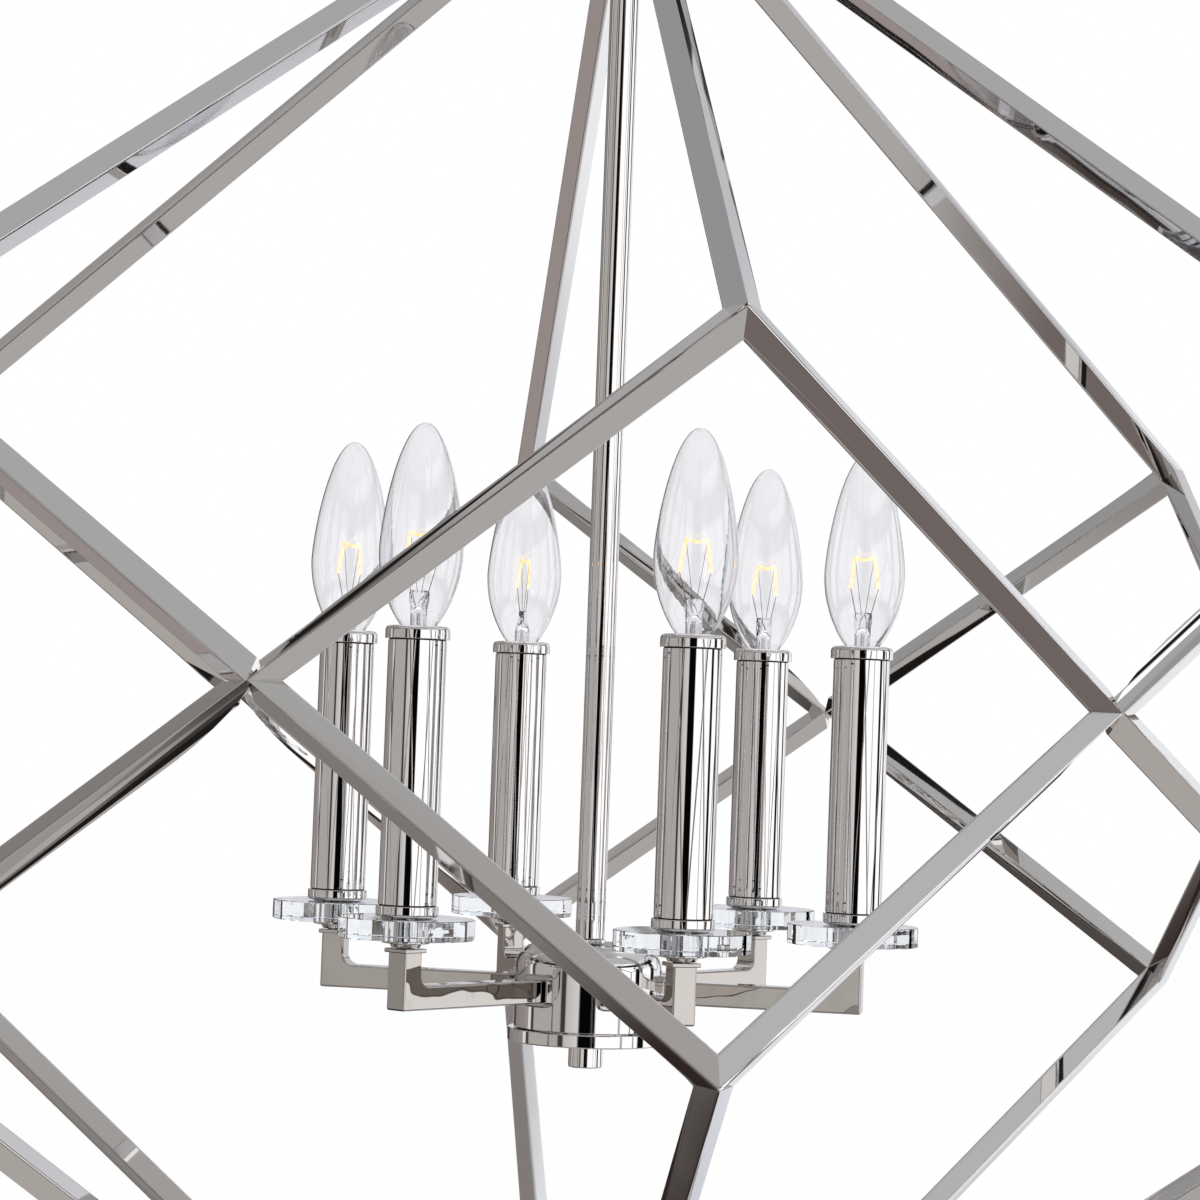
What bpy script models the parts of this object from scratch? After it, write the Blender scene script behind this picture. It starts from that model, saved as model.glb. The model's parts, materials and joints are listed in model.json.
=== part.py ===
"""Pendant chandelier: a faceted cage of square bars hung round a ring of six candle lights.

Everything hangs from a bar screwed to the ceiling. Z points up and its zero is the ceiling, so
the whole fitting lies below it. Azimuth 0 is -Y and turns towards +X, and the cage's front joint
stands at azimuth 0. Lengths are in metres.
"""

import math

import bmesh
import bpy
import numpy as np
from mathutils import Matrix, Vector

MM = 0.001
GAP = 0.3 * MM  # left between pieces that touch

# Cage: a 6-sided frame of square bars, the same above and below its waist.
SIDES = 6
BAR = 10.0 * MM
SHOULDER_RADIUS = 354.5 * MM
SHOULDER_HEIGHT = 124.3 * MM
WAIST_RADIUS = 306.2 * MM
APEX_HEIGHT = 380.6 * MM
CAGE_HUB_RADIUS = 22.0 * MM
CAGE_HUB_HEIGHT = 26.0 * MM
CAGE_HUB_CHAMFER = 2.0 * MM
BUTTON_RADIUS = 9.0 * MM
BUTTON_STEP = 2.0 * MM
BUTTON_HEIGHT = 6.0 * MM

# Candle ring
CANDLES = 6
CANDLE_RADIUS = 114.0 * MM
FIRST_CANDLE_AZIMUTH = math.radians(12.0)
CANDLE_BASE_BELOW_WAIST = 91.9 * MM

# Ceiling parts
CEILING_BAR = Vector((104.0, 24.0, 3.0)) * MM
CEILING_BAR_SLOT = Vector((16.0, 4.6)) * MM
CEILING_BAR_SLOT_AT = 38.0 * MM
CEILING_BOSS_RADIUS = 9.0 * MM
CEILING_BOSS_HEIGHT = 6.0 * MM
CANOPY_RADIUS = 65.0 * MM
CANOPY_DEPTH = 26.0 * MM
CANOPY_CORNER = 12.0 * MM
CANOPY_WALL = 1.5 * MM
RING_RADIUS = 13.0 * MM
RING_HEIGHT = 8.0 * MM
RING_EDGE = 1.2 * MM

# Swivel
FORK_RADIUS = 10.0 * MM
FORK_COLLAR = 11.4 * MM
FORK_FLOOR = 2.4 * MM
PIVOT_DROP = 9.0 * MM
EAR_RADIUS = 8.0 * MM
EAR_FACE = 9.4 * MM
TONGUE_HALF = 5.0 * MM
SWIVEL_PIN_RADIUS = 1.9 * MM
SWIVEL_PIN_HEAD = Vector((3.4, 1.6)) * MM
TONGUE_BARREL_RADIUS = 9.0 * MM
TONGUE_BARREL_DROP = 13.0 * MM
TONGUE_BARREL_HEIGHT = 16.0 * MM

# Rods and the thread that joins them
ROD_RADIUS = 6.35 * MM
ROD_BORE = 4.0 * MM
THREAD_RADIUS = 4.85 * MM
THREAD_BORE = 3.25 * MM
THREAD_REACH = 8.0 * MM
STEM_LENGTH = 132.0 * MM
COUPLING_RADIUS = 9.0 * MM
COUPLING_HEIGHT = 18.0 * MM
COUPLING_EDGE = 1.0 * MM
COLLAR_RADIUS = 6.8 * MM
COLLAR_HEIGHT = 1.9 * MM
KNURLS = 24
KNURL_DEPTH = 0.5 * MM

# Hub, given below the candles' base
HUB_RADIUS = 31.75 * MM
HUB_TOP = 13.9 * MM
HUB_HEIGHT = 36.1 * MM
HUB_CORNER = 10.0 * MM
HUB_WALL = 3.5 * MM
COVER_RADIUS = 34.3 * MM
COVER_HEIGHT = 5.7 * MM
COVER_STEP = 2.0 * MM
COVER_EDGE = 0.6 * MM
FINIAL_RADIUS = 7.5 * MM
FINIAL_HEIGHT = 10.7 * MM
FINIAL_FLOOR = 2.5 * MM
FINIAL_EDGE = 0.6 * MM

# Arms: square tube elbows
ARM = 10.0 * MM
ARM_WALL = 1.2 * MM
ARM_AXIS_DROP = 33.0 * MM
ARM_TOP_DROP = 12.4 * MM
ARM_INNER_END = 23.0 * MM
ARM_FILLET = 5.0 * MM
ARM_FLANGE = Vector((2.5, 14.0, 14.0)) * MM
ARM_CAP = Vector((12.4, 12.4, 1.8)) * MM

# Candles
CUP_RADIUS = 10.0 * MM
CUP_HEIGHT = 1.7 * MM
CUP_BOSS_RADIUS = 5.8 * MM
CRYSTAL_RADIUS = 28.0 * MM
CRYSTAL_FACETS = 24
CRYSTAL_HEIGHT = 8.3 * MM
SLEEVE_RADIUS = 12.0 * MM
SLEEVE_WALL = 1.3 * MM
SLEEVE_HEIGHT = 118.6 * MM
RIM_RADIUS = 13.35 * MM
RIM_HEIGHT = 5.4 * MM
RIM_ROUND = 2.2 * MM
FOOT_RADIUS = 12.9 * MM
FOOT_HEIGHT = 4.6 * MM
FOOT_ROUND = 1.4 * MM
SOCKET_POST_RADIUS = 3.5 * MM
SOCKET_POST_DROP = 22.0 * MM
SOCKET_BODY_FROM = 55.0 * MM
SOCKET_BODY_TO = 112.0 * MM
SOCKET_RADIUS = 10.2 * MM
SOCKET_BORE = 6.9 * MM
SOCKET_BORE_DEPTH = 24.0 * MM

# Bulbs, given from the top of the candle sleeve
BULB_BASE_RADIUS = 6.2 * MM
BULB_BASE_TO = -6.0 * MM
BULB_BASE_HEIGHT = 20.0 * MM
BULB_TIP_CONTACT = Vector((3.0, 2.0)) * MM
BULB_NECK_RADIUS = 7.2 * MM
BULB_RADIUS = 17.3 * MM
BULB_WIDEST = 31.0 * MM
BULB_HEIGHT = 83.5 * MM

# Stack of heights, from the ceiling down
CANOPY_FACE_Z = -CANOPY_DEPTH
RING_Z = CANOPY_FACE_Z - GAP - RING_HEIGHT
FORK_Z = RING_Z - GAP - FORK_COLLAR
PIVOT_Z = FORK_Z - PIVOT_DROP
BARREL_Z = PIVOT_Z - TONGUE_BARREL_DROP
BARREL_END_Z = BARREL_Z - TONGUE_BARREL_HEIGHT
STEM_TOP_Z = BARREL_END_Z + THREAD_REACH
STEM_END_Z = STEM_TOP_Z - STEM_LENGTH
COUPLING_END_Z = STEM_END_Z + THREAD_REACH - COUPLING_HEIGHT
CAGE_HUB_TOP_Z = COUPLING_END_Z - GAP
CAGE_HUB_END_Z = CAGE_HUB_TOP_Z - CAGE_HUB_HEIGHT
CROWN_SLOPE = (APEX_HEIGHT - SHOULDER_HEIGHT) / SHOULDER_RADIUS
APEX_Z = (CAGE_HUB_TOP_Z + CAGE_HUB_END_Z) / 2 + CAGE_HUB_RADIUS * CROWN_SLOPE
WAIST_Z = APEX_Z - APEX_HEIGHT
CANDLE_Z = WAIST_Z - CANDLE_BASE_BELOW_WAIST
HUB_TOP_Z = CANDLE_Z - HUB_TOP
HUB_END_Z = HUB_TOP_Z - HUB_HEIGHT
COVER_END_Z = HUB_END_Z - GAP - COVER_HEIGHT
FINIAL_END_Z = COVER_END_Z - GAP - FINIAL_HEIGHT
ROD_END_Z = HUB_TOP_Z + GAP + COLLAR_HEIGHT + GAP

SHARP_ANGLE = math.radians(35)


def clear_scene():
    for obj in list(bpy.data.objects):
        bpy.data.objects.remove(obj)


# Materials


def material(name, colour, roughness, metallic=0.0, alpha=1.0):
    made = bpy.data.materials.new(name)
    made.use_nodes = True
    shader = made.node_tree.nodes["Principled BSDF"]
    shader.inputs["Base Color"].default_value = (*colour, 1.0)
    shader.inputs["Roughness"].default_value = roughness
    shader.inputs["Metallic"].default_value = metallic
    shader.inputs["Alpha"].default_value = alpha
    return made


def polished_nickel():
    return material("polished_nickel", (0.80, 0.77, 0.74), 0.06, metallic=1.0)


def zinc_plated_steel():
    return material("zinc_plated_steel", (0.62, 0.63, 0.64), 0.35, metallic=1.0)


def crystal():
    return material("crystal", (0.95, 0.97, 1.0), 0.02, alpha=0.4)


def bulb_glass():
    return material("bulb_glass", (0.97, 0.97, 1.0), 0.02, alpha=0.3)


def socket_phenolic():
    return material("socket_phenolic", (0.03, 0.03, 0.03), 0.45)


# Shapes


def place(name, mesh, surface, parent, at=Vector(), azimuth=0.0):
    """A mesh as a named object, moved to a point and turned about the vertical."""
    obj = bpy.data.objects.new(name, mesh)
    if not mesh.materials:
        mesh.materials.append(surface)
    bpy.context.scene.collection.objects.link(obj)
    obj.parent = parent
    obj.location = at
    obj.rotation_euler.z = azimuth
    return obj


def empty(name, parent=None, at=Vector()):
    obj = bpy.data.objects.new(name, None)
    obj.empty_display_size = 0.02
    bpy.context.scene.collection.objects.link(obj)
    obj.parent = parent
    obj.location = at
    return obj


def mesh_from(name, bm, smooth=True):
    """Closes off a bmesh: faces out, smooth where round, sharp at edges."""
    bmesh.ops.recalc_face_normals(bm, faces=bm.faces)
    mesh = bpy.data.meshes.new(name)
    bm.to_mesh(mesh)
    bm.free()
    if smooth:
        mesh.shade_smooth()
        mesh.set_sharp_from_angle(angle=SHARP_ANGLE)
    return mesh


def turned(name, outline, steps=24):
    """A lathe-turned solid. The outline is (radius, height) points; it either closes on itself,
    which leaves a hole through the middle, or starts and ends on the axis."""
    bm = bmesh.new()
    verts = [bm.verts.new((r, 0.0, z)) for r, z in outline]
    on_axis = outline[0][0] == 0.0 and outline[-1][0] == 0.0
    ends = verts[1:] if on_axis else verts[1:] + verts[:1]
    edges = [bm.edges.new(pair) for pair in zip(verts, ends)]
    bmesh.ops.spin(
        bm, geom=verts + edges, axis=(0, 0, 1), cent=(0, 0, 0), angle=2 * math.pi,
        steps=steps, use_merge=True,
    )
    bmesh.ops.remove_doubles(bm, verts=bm.verts, dist=1e-6)
    return mesh_from(name, bm)


def arc(centre, radius, start, end, steps=3):
    """Points on a circle in the outline's plane, angles in degrees from the radial direction."""
    angles = (math.radians(start + (end - start) * i / steps) for i in range(steps + 1))
    return [(centre[0] + radius * math.cos(a), centre[1] + radius * math.sin(a)) for a in angles]


def extruded(name, points, offset, smooth=False):
    """The flat outline through these points, pushed along offset."""
    bm = bmesh.new()
    face = bm.faces.new([bm.verts.new(p) for p in points])
    pushed = bmesh.ops.extrude_face_region(bm, geom=[face])["geom"]
    bmesh.ops.translate(
        bm, vec=offset, verts=[v for v in pushed if isinstance(v, bmesh.types.BMVert)]
    )
    return mesh_from(name, bm, smooth)


def block(name, low, high):
    x0, y0, z0 = low
    x1, y1, z1 = high
    corners = [(x0, y0, z0), (x1, y0, z0), (x1, y1, z0), (x0, y1, z0)]
    return extruded(name, corners, (0, 0, z1 - z0))


def cylinder_along_x(name, radius, x0, x1, z, steps=16):
    turns = [2 * math.pi * i / steps for i in range(steps)]
    points = [(x0, radius * math.cos(a), z + radius * math.sin(a)) for a in turns]
    return extruded(name, points, (x1 - x0, 0, 0), smooth=True)


def helper(mesh, parent):
    """A cutter or a filler for a Boolean. It isn't a piece of the fitting."""
    obj = bpy.data.objects.new(mesh.name, mesh)
    bpy.context.scene.collection.objects.link(obj)
    obj.parent = parent
    obj.hide_render = True
    obj.display_type = "WIRE"
    return obj


def cut(obj, mesh, azimuth=0.0):
    combine(obj, mesh, "DIFFERENCE", azimuth)


def join(obj, mesh, azimuth=0.0):
    combine(obj, mesh, "UNION", azimuth)


def combine(obj, mesh, operation, azimuth):
    other = helper(mesh, obj)
    other.rotation_euler.z = azimuth
    modifier = obj.modifiers.new(mesh.name, "BOOLEAN")
    modifier.operation = operation
    modifier.solver = "EXACT"
    modifier.object = other


# Ceiling: bar, threaded nipple, canopy and the ring that holds the canopy up


def ceiling_bar(steel, parent):
    half = CEILING_BAR / 2
    plate = block("ceiling_bar", (-half.x, -half.y, -CEILING_BAR.z), (half.x, half.y, 0))
    obj = place("ceiling_bar", plate, steel, parent)
    boss_end = -CEILING_BAR.z - CEILING_BOSS_HEIGHT
    boss = [
        (0.0, -CEILING_BAR.z / 2),
        (CEILING_BOSS_RADIUS, -CEILING_BAR.z / 2),
        (CEILING_BOSS_RADIUS, boss_end),
        (0.0, boss_end),
    ]
    join(obj, turned("ceiling_boss", boss))
    slot = CEILING_BAR_SLOT / 2
    for side in (-1, 1):
        x = side * CEILING_BAR_SLOT_AT
        low = (x - slot.x, -slot.y, -2 * CEILING_BAR.z)
        cut(obj, block("ceiling_bar_slot", low, (x + slot.x, slot.y, CEILING_BAR.z)))
    thread = THREAD_RADIUS + GAP
    hole = [(0.0, -CEILING_BAR.z), (thread, -CEILING_BAR.z), (thread, 2 * boss_end)]
    cut(obj, turned("ceiling_thread", hole + [(0.0, 2 * boss_end)]))


def thread_tube(name, top, bottom, steel, parent):
    """A threaded nipple, drawn as a plain tube at its outer diameter."""
    outline = [
        (THREAD_RADIUS, top), (THREAD_RADIUS, bottom), (THREAD_BORE, bottom), (THREAD_BORE, top),
    ]
    place(name, turned(name, outline), steel, parent)


def canopy(nickel, parent):
    hole = THREAD_RADIUS + GAP
    inner = CANOPY_CORNER - CANOPY_WALL
    centre = (CANOPY_RADIUS - CANOPY_CORNER, CANOPY_FACE_Z + CANOPY_CORNER)
    outline = [(CANOPY_RADIUS, 0.0)]
    outline += arc(centre, CANOPY_CORNER, 0, -90)
    outline += [(hole, CANOPY_FACE_Z), (hole, CANOPY_FACE_Z + CANOPY_WALL)]
    outline += arc(centre, inner, -90, 0)
    outline += [(CANOPY_RADIUS - CANOPY_WALL, 0.0)]
    place("canopy", turned("canopy", outline, 32), nickel, parent)


def canopy_ring(nickel, parent):
    hole = THREAD_RADIUS + GAP
    top = RING_Z + RING_HEIGHT
    outline = [
        (RING_RADIUS, top), (RING_RADIUS, RING_Z + RING_EDGE), (RING_RADIUS - RING_EDGE, RING_Z),
        (hole, RING_Z), (hole, top),
    ]
    place("canopy_ring", turned("canopy_ring", outline), nickel, parent)


# Swivel: a fork on the ceiling side, a tongue on the stem side and the pin through both


def upright_pill(name, radius, x0, x1, z_round, z_flat):
    """A plate across X with a half-round end about z_round and a square end at z_flat."""
    towards = -1 if z_flat > z_round else 1
    round_end = [
        (x0, radius * math.cos(a), z_round + towards * radius * math.sin(a))
        for a in (math.pi * i / 8 for i in range(9))
    ]
    square_end = [(x0, -radius, z_flat), (x0, radius, z_flat)]
    return extruded(name, round_end + square_end, (x1 - x0, 0, 0), smooth=True)


def swivel_fork(nickel, parent):
    top = RING_Z - GAP - PIVOT_Z
    base = FORK_Z - PIVOT_Z
    thread = THREAD_RADIUS + GAP
    bore_end = base + FORK_FLOOR
    outline = [
        (0.0, bore_end), (thread, bore_end), (thread, top), (FORK_RADIUS, top),
        (FORK_RADIUS, base), (0.0, base),
    ]
    obj = place("swivel_fork", turned("swivel_fork", outline), nickel, parent)
    inside = TONGUE_HALF + GAP
    root = base + FORK_FLOOR / 2
    for side in (-1, 1):
        ear = upright_pill("fork_ear", EAR_RADIUS, side * inside, side * EAR_FACE, 0.0, root)
        join(obj, ear)
    reach = 2 * FORK_RADIUS
    cut(obj, cylinder_along_x("fork_pin_hole", SWIVEL_PIN_RADIUS + GAP, -reach, reach, 0.0))


def swivel_tongue(nickel, parent):
    barrel_top = -TONGUE_BARREL_DROP
    barrel_end = barrel_top - TONGUE_BARREL_HEIGHT
    socket = ROD_RADIUS + GAP
    socket_top = barrel_end + THREAD_REACH + GAP
    outline = [
        (0.0, barrel_top), (TONGUE_BARREL_RADIUS, barrel_top), (TONGUE_BARREL_RADIUS, barrel_end),
        (socket, barrel_end), (socket, socket_top), (0.0, socket_top),
    ]
    obj = place("swivel_tongue", turned("swivel_tongue", outline), nickel, parent)
    root = barrel_top - (TONGUE_BARREL_HEIGHT - THREAD_REACH) / 4
    join(obj, upright_pill("tongue_neck", EAR_RADIUS, -TONGUE_HALF, TONGUE_HALF, 0.0, root))
    reach = 2 * TONGUE_HALF
    cut(obj, cylinder_along_x("tongue_pin_hole", SWIVEL_PIN_RADIUS + GAP, -reach, reach, 0.0))


def swivel_pin(nickel, parent):
    """The hinge pin, with a low head at each end."""
    under_head = EAR_FACE + GAP
    end = under_head + SWIVEL_PIN_HEAD.y
    outline = [
        (0.0, -end), (SWIVEL_PIN_HEAD.x, -end), (SWIVEL_PIN_HEAD.x, -under_head),
        (SWIVEL_PIN_RADIUS, -under_head), (SWIVEL_PIN_RADIUS, under_head),
        (SWIVEL_PIN_HEAD.x, under_head), (SWIVEL_PIN_HEAD.x, end), (0.0, end),
    ]
    mesh = turned("swivel_pin", outline, 16)
    mesh.transform(Matrix.Rotation(math.pi / 2, 4, "Y"))
    place("swivel_pin", mesh, nickel, parent)


# Rods, couplings and the cage's two hubs


def upper_stem(nickel, parent):
    outline = [
        (ROD_RADIUS, STEM_TOP_Z), (ROD_RADIUS, STEM_END_Z), (ROD_BORE, STEM_END_Z),
        (ROD_BORE, STEM_TOP_Z),
    ]
    place("upper_stem", turned("upper_stem", outline), nickel, parent)


def stem_coupling(nickel, parent):
    top = COUPLING_END_Z + COUPLING_HEIGHT
    shoulder = STEM_END_Z - GAP
    outline = [
        (COUPLING_RADIUS - COUPLING_EDGE, top), (COUPLING_RADIUS, top - COUPLING_EDGE),
        (COUPLING_RADIUS, COUPLING_END_Z), (THREAD_RADIUS + GAP, COUPLING_END_Z),
        (THREAD_RADIUS + GAP, shoulder), (ROD_RADIUS + GAP, shoulder), (ROD_RADIUS + GAP, top),
    ]
    place("stem_coupling", turned("stem_coupling", outline), nickel, parent)


def hub_drum_outline(top, end, hole):
    edge = CAGE_HUB_CHAMFER
    outer = [
        (CAGE_HUB_RADIUS - edge, top), (CAGE_HUB_RADIUS, top - edge),
        (CAGE_HUB_RADIUS, end + edge), (CAGE_HUB_RADIUS - edge, end),
    ]
    return outer + [(hole, end), (hole, top)]


def cage_top_hub(nickel, parent):
    outline = hub_drum_outline(CAGE_HUB_TOP_Z, CAGE_HUB_END_Z, THREAD_RADIUS + GAP)
    place("cage_top_hub", turned("cage_top_hub", outline), nickel, parent)


def cage_bottom_hub(nickel, parent):
    """The lower drum is solid and ends in a shallow button."""
    middle = 2 * WAIST_Z - (CAGE_HUB_TOP_Z + CAGE_HUB_END_Z) / 2
    top = middle + CAGE_HUB_HEIGHT / 2
    end = middle - CAGE_HUB_HEIGHT / 2
    button_end = end - BUTTON_HEIGHT
    outline = [(0.0, top)] + hub_drum_outline(top, end, BUTTON_RADIUS)[:-1]
    outline += [(BUTTON_RADIUS, end - BUTTON_STEP), (BUTTON_RADIUS / 2, button_end + GAP)]
    outline += [(0.0, button_end)]
    place("cage_bottom_hub", turned("cage_bottom_hub", outline), nickel, parent)


def main_rod(nickel, parent):
    """The tube that carries the candle ring. Its top is cut down to a thread that goes up through
    the cage's top hub into the coupling, and its lower end takes the hub's nipple."""
    shoulder = CAGE_HUB_END_Z - GAP
    spigot_top = COUPLING_END_Z + THREAD_REACH - GAP
    socket = THREAD_RADIUS + GAP
    socket_top = ROD_END_Z + THREAD_REACH + GAP
    outline = [
        (THREAD_RADIUS, spigot_top), (THREAD_RADIUS, shoulder), (ROD_RADIUS, shoulder),
        (ROD_RADIUS, ROD_END_Z), (socket, ROD_END_Z), (socket, socket_top),
        (THREAD_BORE, socket_top), (THREAD_BORE, spigot_top),
    ]
    place("main_rod", turned("main_rod", outline), nickel, parent)


# Hub of the candle ring


def rod_collar(nickel, parent):
    """A thin ring with a knurled edge between the rod and the hub."""
    outer = []
    for i in range(2 * KNURLS):
        angle = math.pi * i / KNURLS
        radius = COLLAR_RADIUS if i % 2 else COLLAR_RADIUS - KNURL_DEPTH
        outer.append((radius * math.cos(angle), radius * math.sin(angle), HUB_TOP_Z + GAP))
    mesh = extruded("rod_collar", outer, (0, 0, COLLAR_HEIGHT))
    obj = place("rod_collar", mesh, nickel, parent)
    hole = THREAD_RADIUS + GAP
    low, high = HUB_TOP_Z - COLLAR_HEIGHT, HUB_TOP_Z + 3 * COLLAR_HEIGHT
    cut(obj, turned("collar_hole", [(0.0, low), (hole, low), (hole, high), (0.0, high)]))


def hub_body(nickel, parent):
    """A cup turned upside down, with a square hole for each arm."""
    hole = THREAD_RADIUS + GAP
    centre = (HUB_RADIUS - HUB_CORNER, HUB_TOP_Z - HUB_CORNER)
    outline = [(hole, HUB_TOP_Z)]
    outline += arc(centre, HUB_CORNER, 90, 0)
    outline += [(HUB_RADIUS, HUB_END_Z), (HUB_RADIUS - HUB_WALL, HUB_END_Z)]
    outline += arc(centre, HUB_CORNER - HUB_WALL, 0, 90)
    outline += [(hole, HUB_TOP_Z - HUB_WALL)]
    obj = place("hub_body", turned("hub_body", outline, 32), nickel, parent)
    half = ARM / 2 + GAP
    middle = CANDLE_Z - ARM_AXIS_DROP
    low = (-half, -2 * HUB_RADIUS, middle - half)
    for azimuth in candle_azimuths():
        window = block("arm_window", low, (half, -HUB_RADIUS / 2, middle + half))
        cut(obj, window, azimuth)


def hub_cover(nickel, parent):
    """The bottom plate, stepped to sit inside the hub's rim."""
    hole = THREAD_RADIUS + GAP
    top = HUB_END_Z - GAP
    step = HUB_RADIUS - HUB_WALL - GAP
    outline = [
        (hole, top + COVER_STEP), (step, top + COVER_STEP), (step, top), (COVER_RADIUS, top),
        (COVER_RADIUS, COVER_END_Z + COVER_EDGE), (COVER_RADIUS - COVER_EDGE, COVER_END_Z),
        (hole, COVER_END_Z),
    ]
    place("hub_cover", turned("hub_cover", outline, 32), nickel, parent)


def finial(nickel, parent):
    """The end nut: it screws onto the nipple and holds the cover up."""
    hole = THREAD_RADIUS + GAP
    top = COVER_END_Z - GAP
    bore_end = FINIAL_END_Z + FINIAL_FLOOR
    outline = [
        (0.0, bore_end), (hole, bore_end), (hole, top), (FINIAL_RADIUS, top),
        (FINIAL_RADIUS, FINIAL_END_Z + FINIAL_EDGE), (FINIAL_RADIUS - FINIAL_EDGE, FINIAL_END_Z),
        (0.0, FINIAL_END_Z),
    ]
    place("finial", turned("finial", outline), nickel, parent)


# Arms and candles. Each piece is made at azimuth 0 and its object turned about the axis.


def candle_azimuths():
    return [FIRST_CANDLE_AZIMUTH + 2 * math.pi * i / CANDLES for i in range(CANDLES)]


def elbow_outline(inset, inner_end, top, fillet):
    """The side view of a square tube elbow, as points in the plane of azimuth 0."""
    middle = CANDLE_Z - ARM_AXIS_DROP
    reach = ARM / 2 - inset
    low, high = middle - reach, middle + reach
    near, far = CANDLE_RADIUS - reach, CANDLE_RADIUS + reach
    corner = (near - fillet, high + fillet)
    bend = arc(corner, fillet, 0, -90)
    side = [(inner_end, low), (far, low), (far, top), (near, top)] + bend + [(inner_end, high)]
    return [(-reach, -r, z) for r, z in side]


def arm_mesh_parts():
    top = CANDLE_Z - ARM_TOP_DROP - GAP
    middle = CANDLE_Z - ARM_AXIS_DROP
    tube = extruded("arm", elbow_outline(0.0, ARM_INNER_END, top, ARM_FILLET), (ARM, 0, 0))
    past = 2 * ARM_WALL
    bore_outline = elbow_outline(
        ARM_WALL, ARM_INNER_END - past, top + past, ARM_FILLET + ARM_WALL
    )
    bore = extruded("arm_bore", bore_outline, (ARM - 2 * ARM_WALL, 0, 0))
    thick, wide, high = ARM_FLANGE
    face = -(HUB_RADIUS + GAP)
    low = (-wide / 2, face - thick, middle - high / 2)
    flange = block("arm_flange", low, (wide / 2, face, middle + high / 2))
    cap_half = ARM_CAP.x / 2
    low = (-cap_half, -CANDLE_RADIUS - cap_half, top - ARM_CAP.z)
    cap = block("arm_cap", low, (cap_half, -CANDLE_RADIUS + cap_half, top))
    return tube, flange, cap, bore


def arms(nickel, parent):
    tube, flange, cap, bore = arm_mesh_parts()
    for number, azimuth in enumerate(candle_azimuths(), 1):
        obj = place(f"arm_{number}", tube, nickel, parent, azimuth=azimuth)
        join(obj, flange)
        join(obj, cap)
        cut(obj, bore)


def on_ring(azimuth, z=0.0):
    return Vector(
        (CANDLE_RADIUS * math.sin(azimuth), -CANDLE_RADIUS * math.cos(azimuth), z)
    )


def ring_of(name, mesh, surface, parent):
    """The same piece at each candle."""
    for number, azimuth in enumerate(candle_azimuths(), 1):
        at = on_ring(azimuth, CANDLE_Z)
        place(f"{name}_{number}", mesh, surface, parent, at, azimuth)


def cup_mesh():
    """The turned seat between arm and crystal, with a boss up through the crystal."""
    hole = SOCKET_POST_RADIUS + GAP
    end = -ARM_TOP_DROP
    shelf = -GAP - CRYSTAL_HEIGHT - GAP
    outline = [
        (hole, -GAP), (CUP_BOSS_RADIUS, -GAP), (CUP_BOSS_RADIUS, shelf), (CUP_RADIUS, shelf),
        (CUP_RADIUS, shelf - CUP_HEIGHT), (CUP_BOSS_RADIUS, shelf - CUP_HEIGHT),
        (CUP_BOSS_RADIUS, end), (hole, end),
    ]
    return turned("candle_cup", outline, 16)


def crystals(glass, parent):
    """Flat discs of crystal whose edges are ground into narrow flat facets."""
    bottom, top = -GAP - CRYSTAL_HEIGHT, -GAP
    rim = []
    for i in range(CRYSTAL_FACETS):
        angle = 2 * math.pi * i / CRYSTAL_FACETS
        rim.append((CRYSTAL_RADIUS * math.sin(angle), -CRYSTAL_RADIUS * math.cos(angle), bottom))
    disc = extruded("bobeche", rim, (0, 0, top - bottom))
    hole = CUP_BOSS_RADIUS + GAP
    low, high = 2 * bottom, -bottom
    bore = turned("bobeche_bore", [(0.0, low), (hole, low), (hole, high), (0.0, high)], 16)
    for number, azimuth in enumerate(candle_azimuths(), 1):
        at = on_ring(azimuth, CANDLE_Z)
        cut(place(f"bobeche_{number}", disc, glass, parent, at, azimuth), bore)


def sleeve_mesh():
    """The tube that looks like a candle, with a ring at its foot and a rounded rim at its top."""
    inside = SLEEVE_RADIUS - SLEEVE_WALL
    rim_under = SLEEVE_HEIGHT - RIM_HEIGHT
    outline = [(inside, 0.0), (FOOT_RADIUS - FOOT_ROUND, 0.0), (FOOT_RADIUS, FOOT_ROUND)]
    outline += [(FOOT_RADIUS, FOOT_HEIGHT), (SLEEVE_RADIUS, FOOT_HEIGHT)]
    outline += [(SLEEVE_RADIUS, rim_under), (RIM_RADIUS, rim_under)]
    rim_centre = (RIM_RADIUS - RIM_ROUND, SLEEVE_HEIGHT - RIM_ROUND)
    outline += arc(rim_centre, RIM_ROUND, 0, 90, 2)
    outline += [(inside, SLEEVE_HEIGHT)]
    return turned("candle_sleeve", outline, 20)


def socket_mesh():
    """A small screw lamp holder on a post that is screwed into the top of the arm."""
    bore_end = SOCKET_BODY_TO - SOCKET_BORE_DEPTH
    outline = [
        (0.0, -SOCKET_POST_DROP), (SOCKET_POST_RADIUS, -SOCKET_POST_DROP),
        (SOCKET_POST_RADIUS, SOCKET_BODY_FROM), (SOCKET_RADIUS, SOCKET_BODY_FROM),
        (SOCKET_RADIUS, SOCKET_BODY_TO), (SOCKET_BORE, SOCKET_BODY_TO),
        (SOCKET_BORE, bore_end), (0.0, bore_end),
    ]
    return turned("socket", outline, 16)


def swell(part, rise, fullness):
    """How far a bulb's wall has swollen, 0 to 1, at part of the way away from its widest."""
    return (1 - part**rise) ** fullness


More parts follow.
